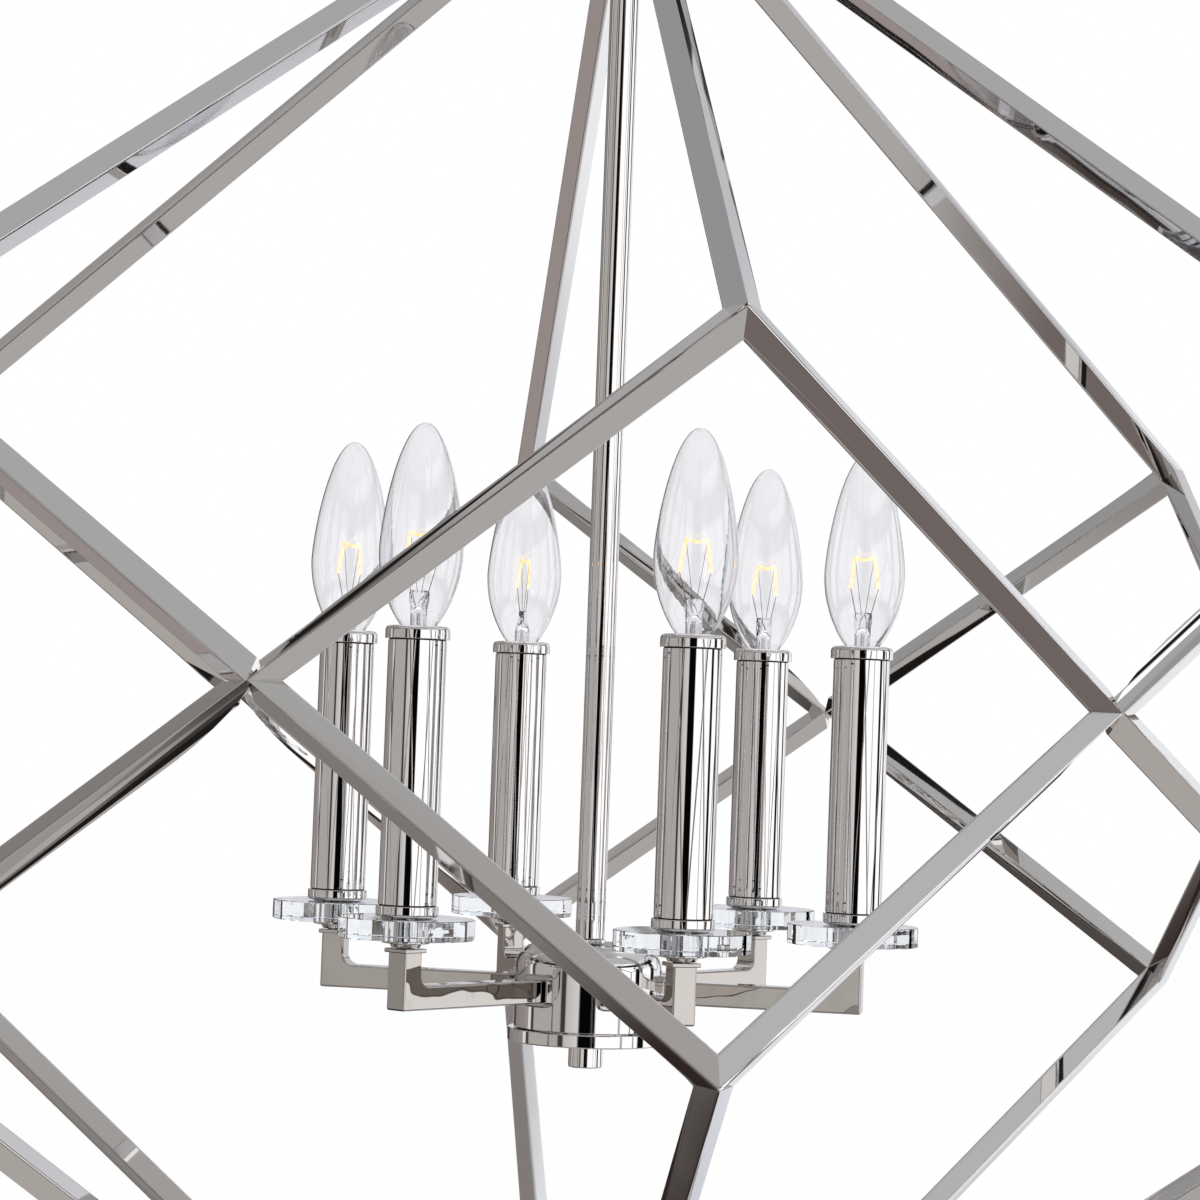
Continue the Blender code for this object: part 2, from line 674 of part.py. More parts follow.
def bulb_mesh():
    """A torpedo bulb on its screw base. Heights are from the top of the candle sleeve."""
    base_end = BULB_BASE_TO - BULB_BASE_HEIGHT
    contact, contact_drop = BULB_TIP_CONTACT
    outline = [
        (0.0, base_end - contact_drop), (contact, base_end - contact_drop),
        (BULB_BASE_RADIUS, base_end), (BULB_BASE_RADIUS, BULB_BASE_TO),
    ]
    lower, upper = 4, 7
    for i in range(lower):
        z = BULB_WIDEST * i / lower
        grown = swell(1 - z / BULB_WIDEST, 2.0, 0.9)
        outline.append((BULB_NECK_RADIUS + (BULB_RADIUS - BULB_NECK_RADIUS) * grown, z))
    for i in range(upper):
        part = math.sin(math.pi / 2 * i / upper)
        z = BULB_WIDEST + (BULB_HEIGHT - BULB_WIDEST) * part
        outline.append((BULB_RADIUS * swell(part, 1.4, 0.5), z))
    outline.append((0.0, BULB_HEIGHT))
    return turned("bulb", outline, 16)


def bulbs(glass, parent):
    """Each bulb hangs on its own empty, because it lifts out of its socket."""
    mesh = bulb_mesh()
    for number, azimuth in enumerate(candle_azimuths(), 1):
        lift = empty(f"bulb_{number}_lift", parent, on_ring(azimuth, CANDLE_Z + SLEEVE_HEIGHT))
        place(f"bulb_{number}", mesh, glass, lift, azimuth=azimuth)


# Cage: each rib is a bar down from the top hub, a diamond of four bars and a bar down to the
# bottom hub. A bar is square and stands on edge, so a ridge runs along its outer side.


def cage_point(radius, sixths, height):
    azimuth = sixths * 2 * math.pi / SIDES
    return Vector((radius * math.sin(azimuth), -radius * math.cos(azimuth), height))


def cage_points():
    """The joints round the front rib and those beside it, by name, from the cage's waist."""
    return {
        "apex": Vector((0, 0, APEX_HEIGHT)),
        "top": cage_point(SHOULDER_RADIUS, 0, SHOULDER_HEIGHT),
        "top_left": cage_point(SHOULDER_RADIUS, -1, SHOULDER_HEIGHT),
        "top_right": cage_point(SHOULDER_RADIUS, 1, SHOULDER_HEIGHT),
        "left": cage_point(WAIST_RADIUS, -0.5, 0.0),
        "right": cage_point(WAIST_RADIUS, 0.5, 0.0),
        "bottom": cage_point(SHOULDER_RADIUS, 0, -SHOULDER_HEIGHT),
        "bottom_left": cage_point(SHOULDER_RADIUS, -1, -SHOULDER_HEIGHT),
        "bottom_right": cage_point(SHOULDER_RADIUS, 1, -SHOULDER_HEIGHT),
        "nadir": Vector((0, 0, -APEX_HEIGHT)),
    }


FACES = {
    "crown_left": ("apex", "top_left", "left", "top"),
    "crown_right": ("apex", "top", "right", "top_right"),
    "diamond": ("top", "left", "bottom", "right"),
    "foot_left": ("nadir", "bottom", "left", "bottom_left"),
    "foot_right": ("nadir", "bottom_right", "right", "bottom"),
}
# Each bar: where it starts and ends, and the openings on its left and right as seen from outside.
BARS = {
    "crown": ("apex", "top", "crown_right", "crown_left"),
    "upper_left": ("top", "left", "diamond", "crown_left"),
    "upper_right": ("top", "right", "crown_right", "diamond"),
    "lower_left": ("left", "bottom", "diamond", "foot_left"),
    "lower_right": ("right", "bottom", "foot_right", "diamond"),
    "foot": ("bottom", "nadir", "foot_right", "foot_left"),
}


def face_middle(points, face):
    return sum((points[name] for name in FACES[face]), Vector()) / 4


def outward(points, face):
    """The normal of an opening, from its two diagonals, facing away from the cage's middle."""
    a, b, c, d = (points[name] for name in FACES[face])
    normal = (c - a).cross(d - b).normalized()
    return normal if normal.dot(face_middle(points, face)) > 0 else -normal


def corner_lines(points, bar):
    """The bar's four long edges as (point, direction): ridge, inner, and one at each opening."""
    start, end, face_1, face_2 = BARS[bar]
    along = (points[end] - points[start]).normalized()
    ridge = outward(points, face_1) + outward(points, face_2)
    ridge = (ridge - along * ridge.dot(along)).normalized()
    side = along.cross(ridge)
    if side.dot(face_middle(points, face_1) - points[start]) < 0:
        side = -side
    half_diagonal = BAR / math.sqrt(2)
    origin = points[start]
    return {
        "ridge": (origin + ridge * half_diagonal, along),
        "inner": (origin - ridge * half_diagonal, along),
        face_1: (origin + side * half_diagonal, along),
        face_2: (origin - side * half_diagonal, along),
    }


def meeting_point(lines):
    """The point nearest to all of these lines."""
    total, wanted = np.zeros((3, 3)), np.zeros(3)
    for point, direction in lines:
        across = np.eye(3) - np.outer(direction, direction)
        total += across
        wanted += across @ np.array(point)
    return Vector(np.linalg.solve(total, wanted))


def on_plane(line, point, normal):
    origin, direction = line
    return origin + direction * ((point - origin).dot(normal) / direction.dot(normal))


def mirrored_bars(points):
    """Corner lines of the bars of the ribs on each side that share the waist joints."""
    turned_lines = {}
    for side, other, sixths in (("left", "right", -1), ("right", "left", 1)):
        turn = Matrix.Rotation(sixths * 2 * math.pi / SIDES, 3, "Z")
        for bar in (f"upper_{other}", f"lower_{other}"):
            turned_lines[side, bar] = {
                edge: (turn @ point, turn @ along)
                for edge, (point, along) in corner_lines(points, bar).items()
            }
    return turned_lines


def rib_mesh():
    """One rib as a single mesh: every joint has an outer and an inner point, and one point in
    each opening that it borders, and every bar is four long faces between those."""
    points = cage_points()
    lines = {bar: corner_lines(points, bar) for bar in BARS}
    beside = mirrored_bars(points)
    bm = bmesh.new()
    verts = {}

    def add(joint, edge, co):
        verts[joint, edge] = bm.verts.new(co)

    for joint, bars in (
        ("top", ("crown", "upper_left", "upper_right")),
        ("bottom", ("foot", "lower_left", "lower_right")),
    ):
        for edge in ("ridge", "inner"):
            add(joint, edge, meeting_point([lines[bar][edge] for bar in bars]))
        for first, second in ((0, 1), (0, 2), (1, 2)):
            shared = set(lines[bars[first]]) & set(lines[bars[second]]) - {"ridge", "inner"}
            edge = shared.pop()
            add(joint, edge, meeting_point([lines[bars[first]][edge], lines[bars[second]][edge]]))

    for side, other in (("left", "right"), ("right", "left")):
        own = [lines[f"upper_{side}"], lines[f"lower_{side}"]]
        neighbours = [beside[side, f"upper_{other}"], beside[side, f"lower_{other}"]]
        across = Vector((0, 0, 1)).cross(points[side]).normalized()
        step = across * math.copysign(GAP / 2, across.dot(points["top"]))
        for edge in ("ridge", "inner"):
            add(side, edge, meeting_point([bar[edge] for bar in own + neighbours]) + step)
        add(side, "diamond", meeting_point([bar["diamond"] for bar in own]))
        for mine, theirs, edge in (
            (own[0], neighbours[0], f"crown_{side}"),
            (own[1], neighbours[1], f"foot_{side}"),
        ):
            other_edge = edge.replace(side, other)
            add(side, edge, meeting_point([mine[edge], theirs[other_edge]]) + step)

    face_at = CAGE_HUB_RADIUS + GAP
    forward = Vector((0, -1, 0))
    for joint, bar in (("apex", "crown"), ("nadir", "foot")):
        for edge, line in lines[bar].items():
            add(joint, edge, on_plane(line, forward * face_at, forward))

    for start, end, face_1, face_2 in BARS.values():
        around = ("ridge", face_1, "inner", face_2)
        for edge, following in zip(around, around[1:] + around[:1]):
            bm.faces.new(
                (verts[start, edge], verts[end, edge], verts[end, following],
                 verts[start, following])
            )
    for joint, face_1, face_2 in (
        ("apex", "crown_left", "crown_right"), ("nadir", "foot_left", "foot_right"),
        ("left", "crown_left", "foot_left"), ("right", "crown_right", "foot_right"),
    ):
        bm.faces.new([verts[joint, edge] for edge in ("ridge", face_1, "inner", face_2)])
    return mesh_from("cage_rib", bm, smooth=False)


def cage_ribs(nickel, parent):
    mesh = rib_mesh()
    for number in range(1, SIDES + 1):
        azimuth = (number - 1) * 2 * math.pi / SIDES
        place(f"cage_rib_{number}", mesh, nickel, parent, Vector((0, 0, WAIST_Z)), azimuth)


def main():
    clear_scene()
    nickel, steel, black = polished_nickel(), zinc_plated_steel(), socket_phenolic()
    ceiling = empty("ceiling")
    swivel = empty("swivel", ceiling, Vector((0, 0, PIVOT_Z)))
    pendant_pivot = empty("pendant_pivot", swivel)
    pendant = empty("pendant", pendant_pivot, Vector((0, 0, -PIVOT_Z)))

    ceiling_bar(steel, ceiling)
    nipple_end = FORK_Z + FORK_FLOOR + GAP
    thread_tube("canopy_nipple", -CEILING_BAR.z - GAP, nipple_end, steel, ceiling)
    canopy(nickel, ceiling)
    canopy_ring(nickel, ceiling)
    swivel_fork(nickel, swivel)
    swivel_tongue(nickel, pendant_pivot)
    swivel_pin(nickel, pendant_pivot)

    upper_stem(nickel, pendant)
    stem_coupling(nickel, pendant)
    cage_top_hub(nickel, pendant)
    main_rod(nickel, pendant)
    cage_ribs(nickel, pendant)
    cage_bottom_hub(nickel, pendant)

    rod_collar(nickel, pendant)
    hub_body(nickel, pendant)
    nipple_end = FINIAL_END_Z + FINIAL_FLOOR + GAP
    thread_tube("hub_nipple", ROD_END_Z + THREAD_REACH, nipple_end, steel, pendant)
    hub_cover(nickel, pendant)
    finial(nickel, pendant)
    arms(nickel, pendant)

    ring_of("candle_cup", cup_mesh(), nickel, pendant)
    crystals(crystal(), pendant)
    ring_of("candle_sleeve", sleeve_mesh(), nickel, pendant)
    ring_of("socket", socket_mesh(), black, pendant)
    bulbs(bulb_glass(), pendant)


main()
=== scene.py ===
import json
import math

import bmesh
import bpy
from mathutils import Matrix, Vector


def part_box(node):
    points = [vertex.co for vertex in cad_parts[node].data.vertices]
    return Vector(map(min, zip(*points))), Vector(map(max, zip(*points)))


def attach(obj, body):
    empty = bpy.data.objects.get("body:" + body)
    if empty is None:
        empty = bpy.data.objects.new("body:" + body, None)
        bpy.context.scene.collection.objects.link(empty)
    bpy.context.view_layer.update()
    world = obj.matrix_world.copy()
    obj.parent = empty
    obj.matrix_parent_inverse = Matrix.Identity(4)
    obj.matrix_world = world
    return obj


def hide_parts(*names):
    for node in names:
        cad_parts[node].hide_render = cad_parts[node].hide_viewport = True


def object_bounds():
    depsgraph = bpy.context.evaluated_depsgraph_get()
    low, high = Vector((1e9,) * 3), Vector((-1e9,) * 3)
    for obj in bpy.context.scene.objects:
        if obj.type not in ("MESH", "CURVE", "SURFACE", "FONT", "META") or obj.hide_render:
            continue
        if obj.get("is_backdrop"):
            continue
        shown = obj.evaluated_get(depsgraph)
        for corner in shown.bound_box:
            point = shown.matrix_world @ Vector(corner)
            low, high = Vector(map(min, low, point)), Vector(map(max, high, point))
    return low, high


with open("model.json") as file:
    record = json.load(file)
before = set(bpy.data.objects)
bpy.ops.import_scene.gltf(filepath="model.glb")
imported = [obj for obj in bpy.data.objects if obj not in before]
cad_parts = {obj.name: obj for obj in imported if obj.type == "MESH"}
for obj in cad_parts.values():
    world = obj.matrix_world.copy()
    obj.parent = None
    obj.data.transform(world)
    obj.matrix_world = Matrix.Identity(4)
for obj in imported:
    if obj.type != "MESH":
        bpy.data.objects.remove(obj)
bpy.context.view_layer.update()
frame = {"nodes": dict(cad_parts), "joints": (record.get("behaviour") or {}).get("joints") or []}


# Ceiling bar. A strip of 3 mm steel, pressed and bright zinc plated, with a tapped boss under
# its middle and a slot near each end for the screws into the ceiling box. The solid from the
# frame has the right shape, so it stays and takes its finish.

MM = 0.001
NODES = frame["nodes"]


def linear(code):
    """A colour written as sRGB hex, as the linear values that the shaders take."""
    parts = (int(code[i:i + 2], 16) / 255 for i in (1, 3, 5))
    return [p / 12.92 if p <= 0.04045 else ((p + 0.055) / 1.055) ** 2.4 for p in parts] + [1.0]


def node(tree, kind, settings=None, **sockets):
    """Adds a node to the tree. A setting is a property of the node. A socket, with _ for a space,
    takes a value or another node's output."""
    made = tree.nodes.new(kind)
    for name, value in (settings or {}).items():
        setattr(made, name, value)
    for name, value in sockets.items():
        if name.startswith("input_"):
            socket = made.inputs[int(name[6:])]
        else:
            socket = made.inputs[name.replace("_", " ")]
        if isinstance(value, bpy.types.NodeSocket):
            tree.links.new(value, socket)
        else:
            socket.default_value = value
    return made


def finish_of(name, **surface):
    """A material with an empty place for its nodes, and its Principled shader."""
    made = bpy.data.materials.new(name)
    made.use_nodes = True
    shader = made.node_tree.nodes["Principled BSDF"]
    for socket, value in surface.items():
        shader.inputs[socket.replace("_", " ")].default_value = value
    return made, made.node_tree, shader


# Bright zinc plate: a bluish grey metal, matt beside nickel, with the patchy sheen that the
# passivating bath leaves in spots about 4 mm across.
ZINC_SPOT = 4.0 * MM
zinc_plate, tree, shader = finish_of("zinc_plated_steel", Metallic=1.0)
where = node(tree, "ShaderNodeTexCoord").outputs["Object"]
spots = node(tree, "ShaderNodeTexNoise", Vector=where, Scale=1 / ZINC_SPOT, Detail=3.0)
shade = node(tree, "ShaderNodeValToRGB", Fac=spots.outputs["Fac"])
shade.color_ramp.elements[0].color = linear("#b3b7bb")
shade.color_ramp.elements[1].color = linear("#c9cccf")
haze = node(
    tree, "ShaderNodeMapRange", Value=spots.outputs["Fac"], To_Min=0.28, To_Max=0.42
)
tree.links.new(shade.outputs["Color"], shader.inputs["Base Color"])
tree.links.new(haze.outputs["Result"], shader.inputs["Roughness"])


def refinish(name, finish):
    """Gives a solid that stays from the frame its finish."""
    NODES[name].data.materials.clear()
    NODES[name].data.materials.append(finish)


refinish("ceiling_bar", zinc_plate)


# Canopy nipple. Half-metre lengths of zinc plated steel pipe thread are cut into short
# nipples. This one joins the bar, the canopy's ring and the swivel, and the wires run through it.

def grid_mesh(name, rings, closed_ends=False):
    """A skin through rings of points that all have the same number of points."""
    bm = bmesh.new()
    rows = [[bm.verts.new(p) for p in ring] for ring in rings]
    for lower, upper in zip(rows, rows[1:]):
        for i in range(len(lower)):
            bm.faces.new((lower[i - 1], lower[i], upper[i], upper[i - 1]))
    if closed_ends:
        bm.faces.new(rows[0])
        bm.faces.new(rows[-1])
    bmesh.ops.recalc_face_normals(bm, faces=bm.faces)
    mesh = bpy.data.meshes.new(name)
    bm.to_mesh(mesh)
    bm.free()
    mesh.shade_smooth()
    return mesh


def threaded(name, radius, depth, pitch, top, bottom, bore=None, turn=48):
    """A screw thread with rolled, rounded crests, as a tube round Z or, with no bore, solid."""
    rings = []
    if bore:
        rings.append([(bore * math.cos(a), bore * math.sin(a), top) for a in circle(turn)])
    rows = max(2, round((top - bottom) / pitch * 8))
    for row in range(rows + 1):
        z = top + (bottom - top) * row / rows
        fade = min(1.0, 2 * (top - z) / pitch, 2 * (z - bottom) / pitch)
        ring = []
        for a in circle(turn):
            wave = 0.5 - 0.5 * math.cos(2 * math.pi * z / pitch - a)
            r = radius - depth * (1 - fade * wave)
            ring.append((r * math.cos(a), r * math.sin(a), z))
        rings.append(ring)
    if bore:
        rings.append([(bore * math.cos(a), bore * math.sin(a), bottom) for a in circle(turn)])
        rings.append(rings[0])
        return welded(grid_mesh(name, rings))
    return grid_mesh(name, rings, closed_ends=True)


def circle(steps):
    return [2 * math.pi * i / steps for i in range(steps)]


def welded(mesh, sharp=math.radians(40)):
    """Joins points in the same place, and keeps edges crisp where the faces turn sharply."""
    bm = bmesh.new()
    bm.from_mesh(mesh)
    bmesh.ops.remove_doubles(bm, verts=bm.verts, dist=1e-6)
    bmesh.ops.recalc_face_normals(bm, faces=bm.faces)
    bm.to_mesh(mesh)
    bm.free()
    mesh.shade_smooth()
    mesh.set_sharp_from_angle(angle=sharp)
    return mesh


def piece(name, mesh, finish, slot, body, *stands_for, at=Vector(), azimuth=0.0):
    """Puts a mesh in the scene as a piece of the fitting that rides on one of its bodies."""
    obj = bpy.data.objects.new(name, mesh)
    if not mesh.materials:
        mesh.materials.append(finish)
    bpy.context.scene.collection.objects.link(obj)
    obj.location = at
    obj.rotation_euler.z = azimuth
    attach(obj, body)
    if stands_for:
        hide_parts(*stands_for)
    return obj


NIPPLE_BORE = 3.25 * MM
PIPE_THREAD = 0.94 * MM  # pitch of lamp pipe thread, 27 turns to the inch
PIPE_THREAD_DEPTH = 0.5 * MM
for name, body in (("canopy_nipple", "ceiling_mount"), ("hub_nipple", "pendant")):
    low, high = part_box(name)
    mesh = threaded(
        name + "_pipe", high.x, PIPE_THREAD_DEPTH, PIPE_THREAD, high.z, low.z, NIPPLE_BORE
    )
    piece(name + "_pipe", mesh, zinc_plate, "zinc_plated_steel", body, name)


# Canopy. A shallow dish spun from 1.5 mm brass sheet over a former, which leaves one round
# corner, then polished and nickel plated. A plated ring nut under it holds it to the ceiling.

# Polished nickel plate: a mirror with a trace of warmth. Polishing leaves it a little wavy,
# about 35 mm from crest to crest, and fine wheel lines soften it by a trace.
WAVE_LENGTH = 35.0 * MM
WAVE_RISE = 0.015 * MM
WHEEL_LINE = 1.2 * MM
polished_nickel, tree, shader = finish_of(
    "polished_nickel", Metallic=1.0, Base_Color=linear("#e4e2e1")
)
where = node(tree, "ShaderNodeTexCoord").outputs["Object"]
waves = node(tree, "ShaderNodeTexNoise", Vector=where, Scale=1 / WAVE_LENGTH, Detail=1.0)
wheel = node(tree, "ShaderNodeTexNoise", Vector=where, Scale=1 / WHEEL_LINE, Detail=2.0)
haze = node(
    tree, "ShaderNodeMapRange", Value=wheel.outputs["Fac"], To_Min=0.01, To_Max=0.03
)
relief = node(
    tree, "ShaderNodeBump", Height=waves.outputs["Fac"], Distance=WAVE_RISE, Strength=1.0
)
tree.links.new(haze.outputs["Result"], shader.inputs["Roughness"])
tree.links.new(relief.outputs["Normal"], shader.inputs["Normal"])


def softened(corners, steps=5):
    """An outline whose corners (radius, height, rounding) are turned into small arcs."""
    points = []
    count = len(corners)
    for i, corner in enumerate(corners):
        here = Vector(corner[:2])
        size = corner[2] if len(corner) > 2 else 0.0
        if not size:
            points.append(here)
            continue
        before = (Vector(corners[i - 1][:2]) - here).normalized()
        after = (Vector(corners[(i + 1) % count][:2]) - here).normalized()
        half = before.angle(after) / 2
        centre = here + (before + after).normalized() * size / math.sin(half)
        start = here + before * size / math.tan(half) - centre
        end = here + after * size / math.tan(half) - centre
        for step in range(steps + 1):
            part = start.lerp(end, step / steps)
            points.append(centre + part.normalized() * size)
    return points


def turned(name, corners, steps=96, rounding_steps=5):
    """A lathe-turned solid from its outline, which closes on itself or ends on the axis."""
    outline = softened(corners, rounding_steps)
    bm = bmesh.new()
    verts = [bm.verts.new((max(p.x, 0.0), 0.0, p.y)) for p in outline]
    on_axis = outline[0].x < 1e-9 and outline[-1].x < 1e-9
    following = verts[1:] if on_axis else verts[1:] + verts[:1]
    edges = [bm.edges.new(pair) for pair in zip(verts, following)]
    bmesh.ops.spin(
        bm, geom=verts + edges, axis=(0, 0, 1), cent=(0, 0, 0), angle=2 * math.pi,
        steps=steps, use_merge=True,
    )
    bmesh.ops.remove_doubles(bm, verts=bm.verts, dist=1e-6)
    bmesh.ops.recalc_face_normals(bm, faces=bm.faces)
    mesh = bpy.data.meshes.new(name)
    bm.to_mesh(mesh)
    bm.free()
    mesh.shade_smooth()
    mesh.set_sharp_from_angle(angle=math.radians(50))
    return mesh


def true_flats(obj):
    """Lets the large faces set the shading, so that roundings don't bend their reflections."""
    normals = obj.modifiers.new("true_flats", "WEIGHTED_NORMAL")
    normals.keep_sharp = True
    normals.weight = 100
    return obj


def nickel(name, mesh, *stands_for, body="pendant", at=Vector(), azimuth=0.0):
    obj = piece(
        name, mesh, polished_nickel, "polished_nickel", body, *stands_for, at=at, azimuth=azimuth
    )
    return true_flats(obj)


CANOPY_CORNER = 12.0 * MM
CANOPY_WALL = 1.5 * MM
PIPE_HOLE = 5.15 * MM
low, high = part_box("canopy")
wide, top, face = high.x, high.z, low.z
dish = [
    (wide, top, 0.4 * MM), (wide, face, CANOPY_CORNER), (PIPE_HOLE, face, 0.3 * MM),
    (PIPE_HOLE, face + CANOPY_WALL), (wide - CANOPY_WALL, face + CANOPY_WALL,
                                      CANOPY_CORNER - CANOPY_WALL),
    (wide - CANOPY_WALL, top, 0.4 * MM),
]
nickel("canopy_dish", turned("canopy_dish", dish, 128, 10), "canopy", body="ceiling_mount")

RING_GROOVES = 3
low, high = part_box("canopy_ring")
nut = [(PIPE_HOLE, high.z), (high.x, high.z, 0.5 * MM)]
for groove in range(RING_GROOVES):
    z = high.z - (2.2 + 1.5 * groove) * MM
    nut += [
        (high.x, z + 0.4 * MM, 0.1 * MM), (high.x - 0.45 * MM, z),
        (high.x, z - 0.4 * MM, 0.1 * MM),
    ]
nut += [(high.x, low.z, 1.2 * MM), (PIPE_HOLE, low.z, 0.3 * MM)]
nickel("canopy_ring_nut", turned("canopy_ring_nut", nut), "canopy_ring", body="ceiling_mount")


# Swivel. The fork is turned brass with its two ears milled flat, and the tongue between them is
# drilled for the same pin, so that the chandelier hangs plumb from a sloping ceiling.

def extruded(name, points, offset):
    """The flat outline through these points, pushed along offset."""
    bm = bmesh.new()
    face = bm.faces.new([bm.verts.new(p) for p in points])
    pushed = bmesh.ops.extrude_face_region(bm, geom=[face])["geom"]
    bmesh.ops.translate(
        bm, vec=offset, verts=[v for v in pushed if isinstance(v, bmesh.types.BMVert)]
    )
    bmesh.ops.recalc_face_normals(bm, faces=bm.faces)
    mesh = bpy.data.meshes.new(name)
    bm.to_mesh(mesh)
    bm.free()
    return mesh


def ear(name, radius, x0, x1, round_at, flat_at, steps=24):
    """A plate across X, half round about the pin at one end and square at the other."""
    way = -1 if flat_at > round_at else 1
    points = [
        (x0, radius * math.cos(a), round_at + way * radius * math.sin(a))
        for a in (math.pi * i / steps for i in range(steps + 1))
    ]
    points += [(x0, -radius, flat_at), (x0, radius, flat_at)]
    mesh = extruded(name, points, (x1 - x0, 0, 0))
    mesh.shade_smooth()
    mesh.set_sharp_from_angle(angle=math.radians(35))
    return mesh


def break_edges(obj, width, segments=3, angle=30):
    """Rounds every edge sharper than the angle, with the flats kept truly flat."""
    bevel = obj.modifiers.new("broken_edges", "BEVEL")
    bevel.width = width
    bevel.segments = segments
    bevel.limit_method = "ANGLE"
    bevel.angle_limit = math.radians(angle)
    bevel.use_clamp_overlap = True
    bevel.harden_normals = True


EAR_RADIUS = 8.0 * MM
EAR_INSIDE = 5.3 * MM
EAR_FACE = 9.4 * MM
TONGUE_HALF = 5.0 * MM
TONGUE_REACH = 13.0 * MM
FORK_COLLAR = 11.4 * MM
FORK_FLOOR = 2.4 * MM
PIN_RADIUS = 1.9 * MM
PIN_HEAD = 1.6 * MM
TAPPED = 8.3 * MM  # depth of a tapped end
TAPPED_BORE = 6.65 * MM
PIN_Z = next(j for j in frame["joints"] if j["name"] == "swivel_tilt")["pos_m"][2]
low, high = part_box("swivel_fork")
collar_low = high.z - FORK_COLLAR
collar = [
    (0.0, collar_low), (high.x, collar_low, 0.6 * MM), (high.x, high.z, 0.6 * MM),
    (PIPE_HOLE, high.z), (PIPE_HOLE, collar_low + FORK_FLOOR), (0.0, collar_low + FORK_FLOOR),
]
nickel("swivel_fork_collar", turned("swivel_fork_collar", collar), "swivel_fork", body="swivel")
for side, word in ((-1, "left"), (1, "right")):
    mesh = ear(
        "swivel_fork_ear", EAR_RADIUS, side * EAR_INSIDE, side * EAR_FACE, PIN_Z,
        collar_low + 1 * MM,
    )
    break_edges(nickel(f"swivel_fork_ear_{word}", mesh, body="swivel"), 0.5 * MM)

low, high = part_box("swivel_tongue")
barrel_top = PIN_Z - TONGUE_REACH
barrel = [
    (0.0, barrel_top), (high.x, barrel_top, 0.8 * MM), (high.x, low.z, 0.8 * MM),
    (TAPPED_BORE, low.z, 0.2 * MM), (TAPPED_BORE, low.z + TAPPED), (0.0, low.z + TAPPED),
]
nickel("swivel_barrel", turned("swivel_barrel", barrel), "swivel_tongue")
mesh = ear("swivel_tongue_plate", EAR_RADIUS, -TONGUE_HALF, TONGUE_HALF, PIN_Z, barrel_top - 1 * MM)
break_edges(nickel("swivel_tongue_plate", mesh), 0.5 * MM)

low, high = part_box("swivel_pin")
head, thick = high.y, PIN_HEAD
pin = [(0.0, -high.x), (head, -high.x, 0.7 * MM), (head, thick - high.x, 0.2 * MM)]
pin += [(PIN_RADIUS, thick - high.x), (PIN_RADIUS, high.x - thick)]
pin += [(head, high.x - thick, 0.2 * MM), (head, high.x, 0.7 * MM), (0.0, high.x)]
mesh = turned("swivel_pin_rivet", pin, 48)
mesh.transform(Matrix.Rotation(math.pi / 2, 4, "Y"))
nickel("swivel_pin_rivet", mesh, "swivel_pin", at=Vector((0, 0, PIN_Z)))


# Rods. Half-inch brass tube, polished and plated: a short stem from the swivel to the cage and
# the long rod down the cage's middle, screwed together through a turned coupling.

ROD = 6.35 * MM
ROD_BORE = 4.0 * MM
low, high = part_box("upper_stem")
tube = [(ROD, high.z), (ROD, low.z), (ROD_BORE, low.z), (ROD_BORE, high.z)]
nickel("stem_tube", turned("stem_tube", tube), "upper_stem")

low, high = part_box("main_rod")
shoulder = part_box("cage_top_hub")[0].z - 0.3 * MM
rod = [
    (4.85 * MM, high.z), (4.85 * MM, shoulder), (ROD, shoulder, 0.3 * MM), (ROD, low.z, 0.3 * MM),
    (PIPE_HOLE, low.z), (PIPE_HOLE, low.z + TAPPED), (NIPPLE_BORE, low.z + TAPPED),
    (NIPPLE_BORE, high.z),
]
nickel("centre_rod", turned("centre_rod", rod), "main_rod")

low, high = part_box("stem_coupling")
wide = high.x
coupling = [
    (TAPPED_BORE, high.z, 0.2 * MM), (wide, high.z, 1.0 * MM), (wide, high.z - 4.0 * MM, 0.3 * MM),
    (wide - 0.7 * MM, high.z - 4.7 * MM, 0.3 * MM), (wide - 0.7 * MM, low.z + 4.7 * MM, 0.3 * MM),
    (wide, low.z + 4.0 * MM, 0.3 * MM), (wide, low.z, 0.4 * MM), (PIPE_HOLE, low.z),
    (PIPE_HOLE, high.z - 10.3 * MM), (TAPPED_BORE, high.z - 10.3 * MM),
]
nickel("stem_coupling_nut", turned("stem_coupling_nut", coupling), "stem_coupling")


# Cage hubs. Turned drums that the crown bars and the foot bars are welded to. The upper one is
# drilled for the rod, and the lower one ends in a shallow button.

HUB_EDGE = 2.0 * MM
low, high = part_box("cage_top_hub")
drum = [
    (PIPE_HOLE, high.z), (high.x, high.z, HUB_EDGE), (high.x, low.z, HUB_EDGE), (PIPE_HOLE, low.z),
]
nickel("cage_crown_hub", turned("cage_crown_hub", drum, 128, 8), "cage_top_hub")

BUTTON = 9.0 * MM
BUTTON_HEIGHT = 6.0 * MM
low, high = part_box("cage_bottom_hub")
end = low.z + BUTTON_HEIGHT
drum = [
    (0.0, high.z), (high.x, high.z, HUB_EDGE), (high.x, end, HUB_EDGE), (BUTTON, end, 0.3 * MM),
    (BUTTON, end - 2.0 * MM, 1.5 * MM), (BUTTON / 2, low.z + 0.3 * MM, 2.0 * MM), (0.0, low.z),
]
nickel("cage_foot_hub", turned("cage_foot_hub", drum, 128, 8), "cage_bottom_hub")


# Cage ribs. 10 mm square steel tube with rounded corners, standing on edge so that a ridge runs
# down its outer side. The bars are mitred, welded, ground flush by hand, polished and plated.

# Hand ground nickel plate: the same mirror as the rest, but the grinding before it was plated
# leaves long shallow waves, about 60 mm apart, that bend its reflections near the welds.
GRIND_LENGTH = 60.0 * MM
GRIND_RISE = 0.22 * MM


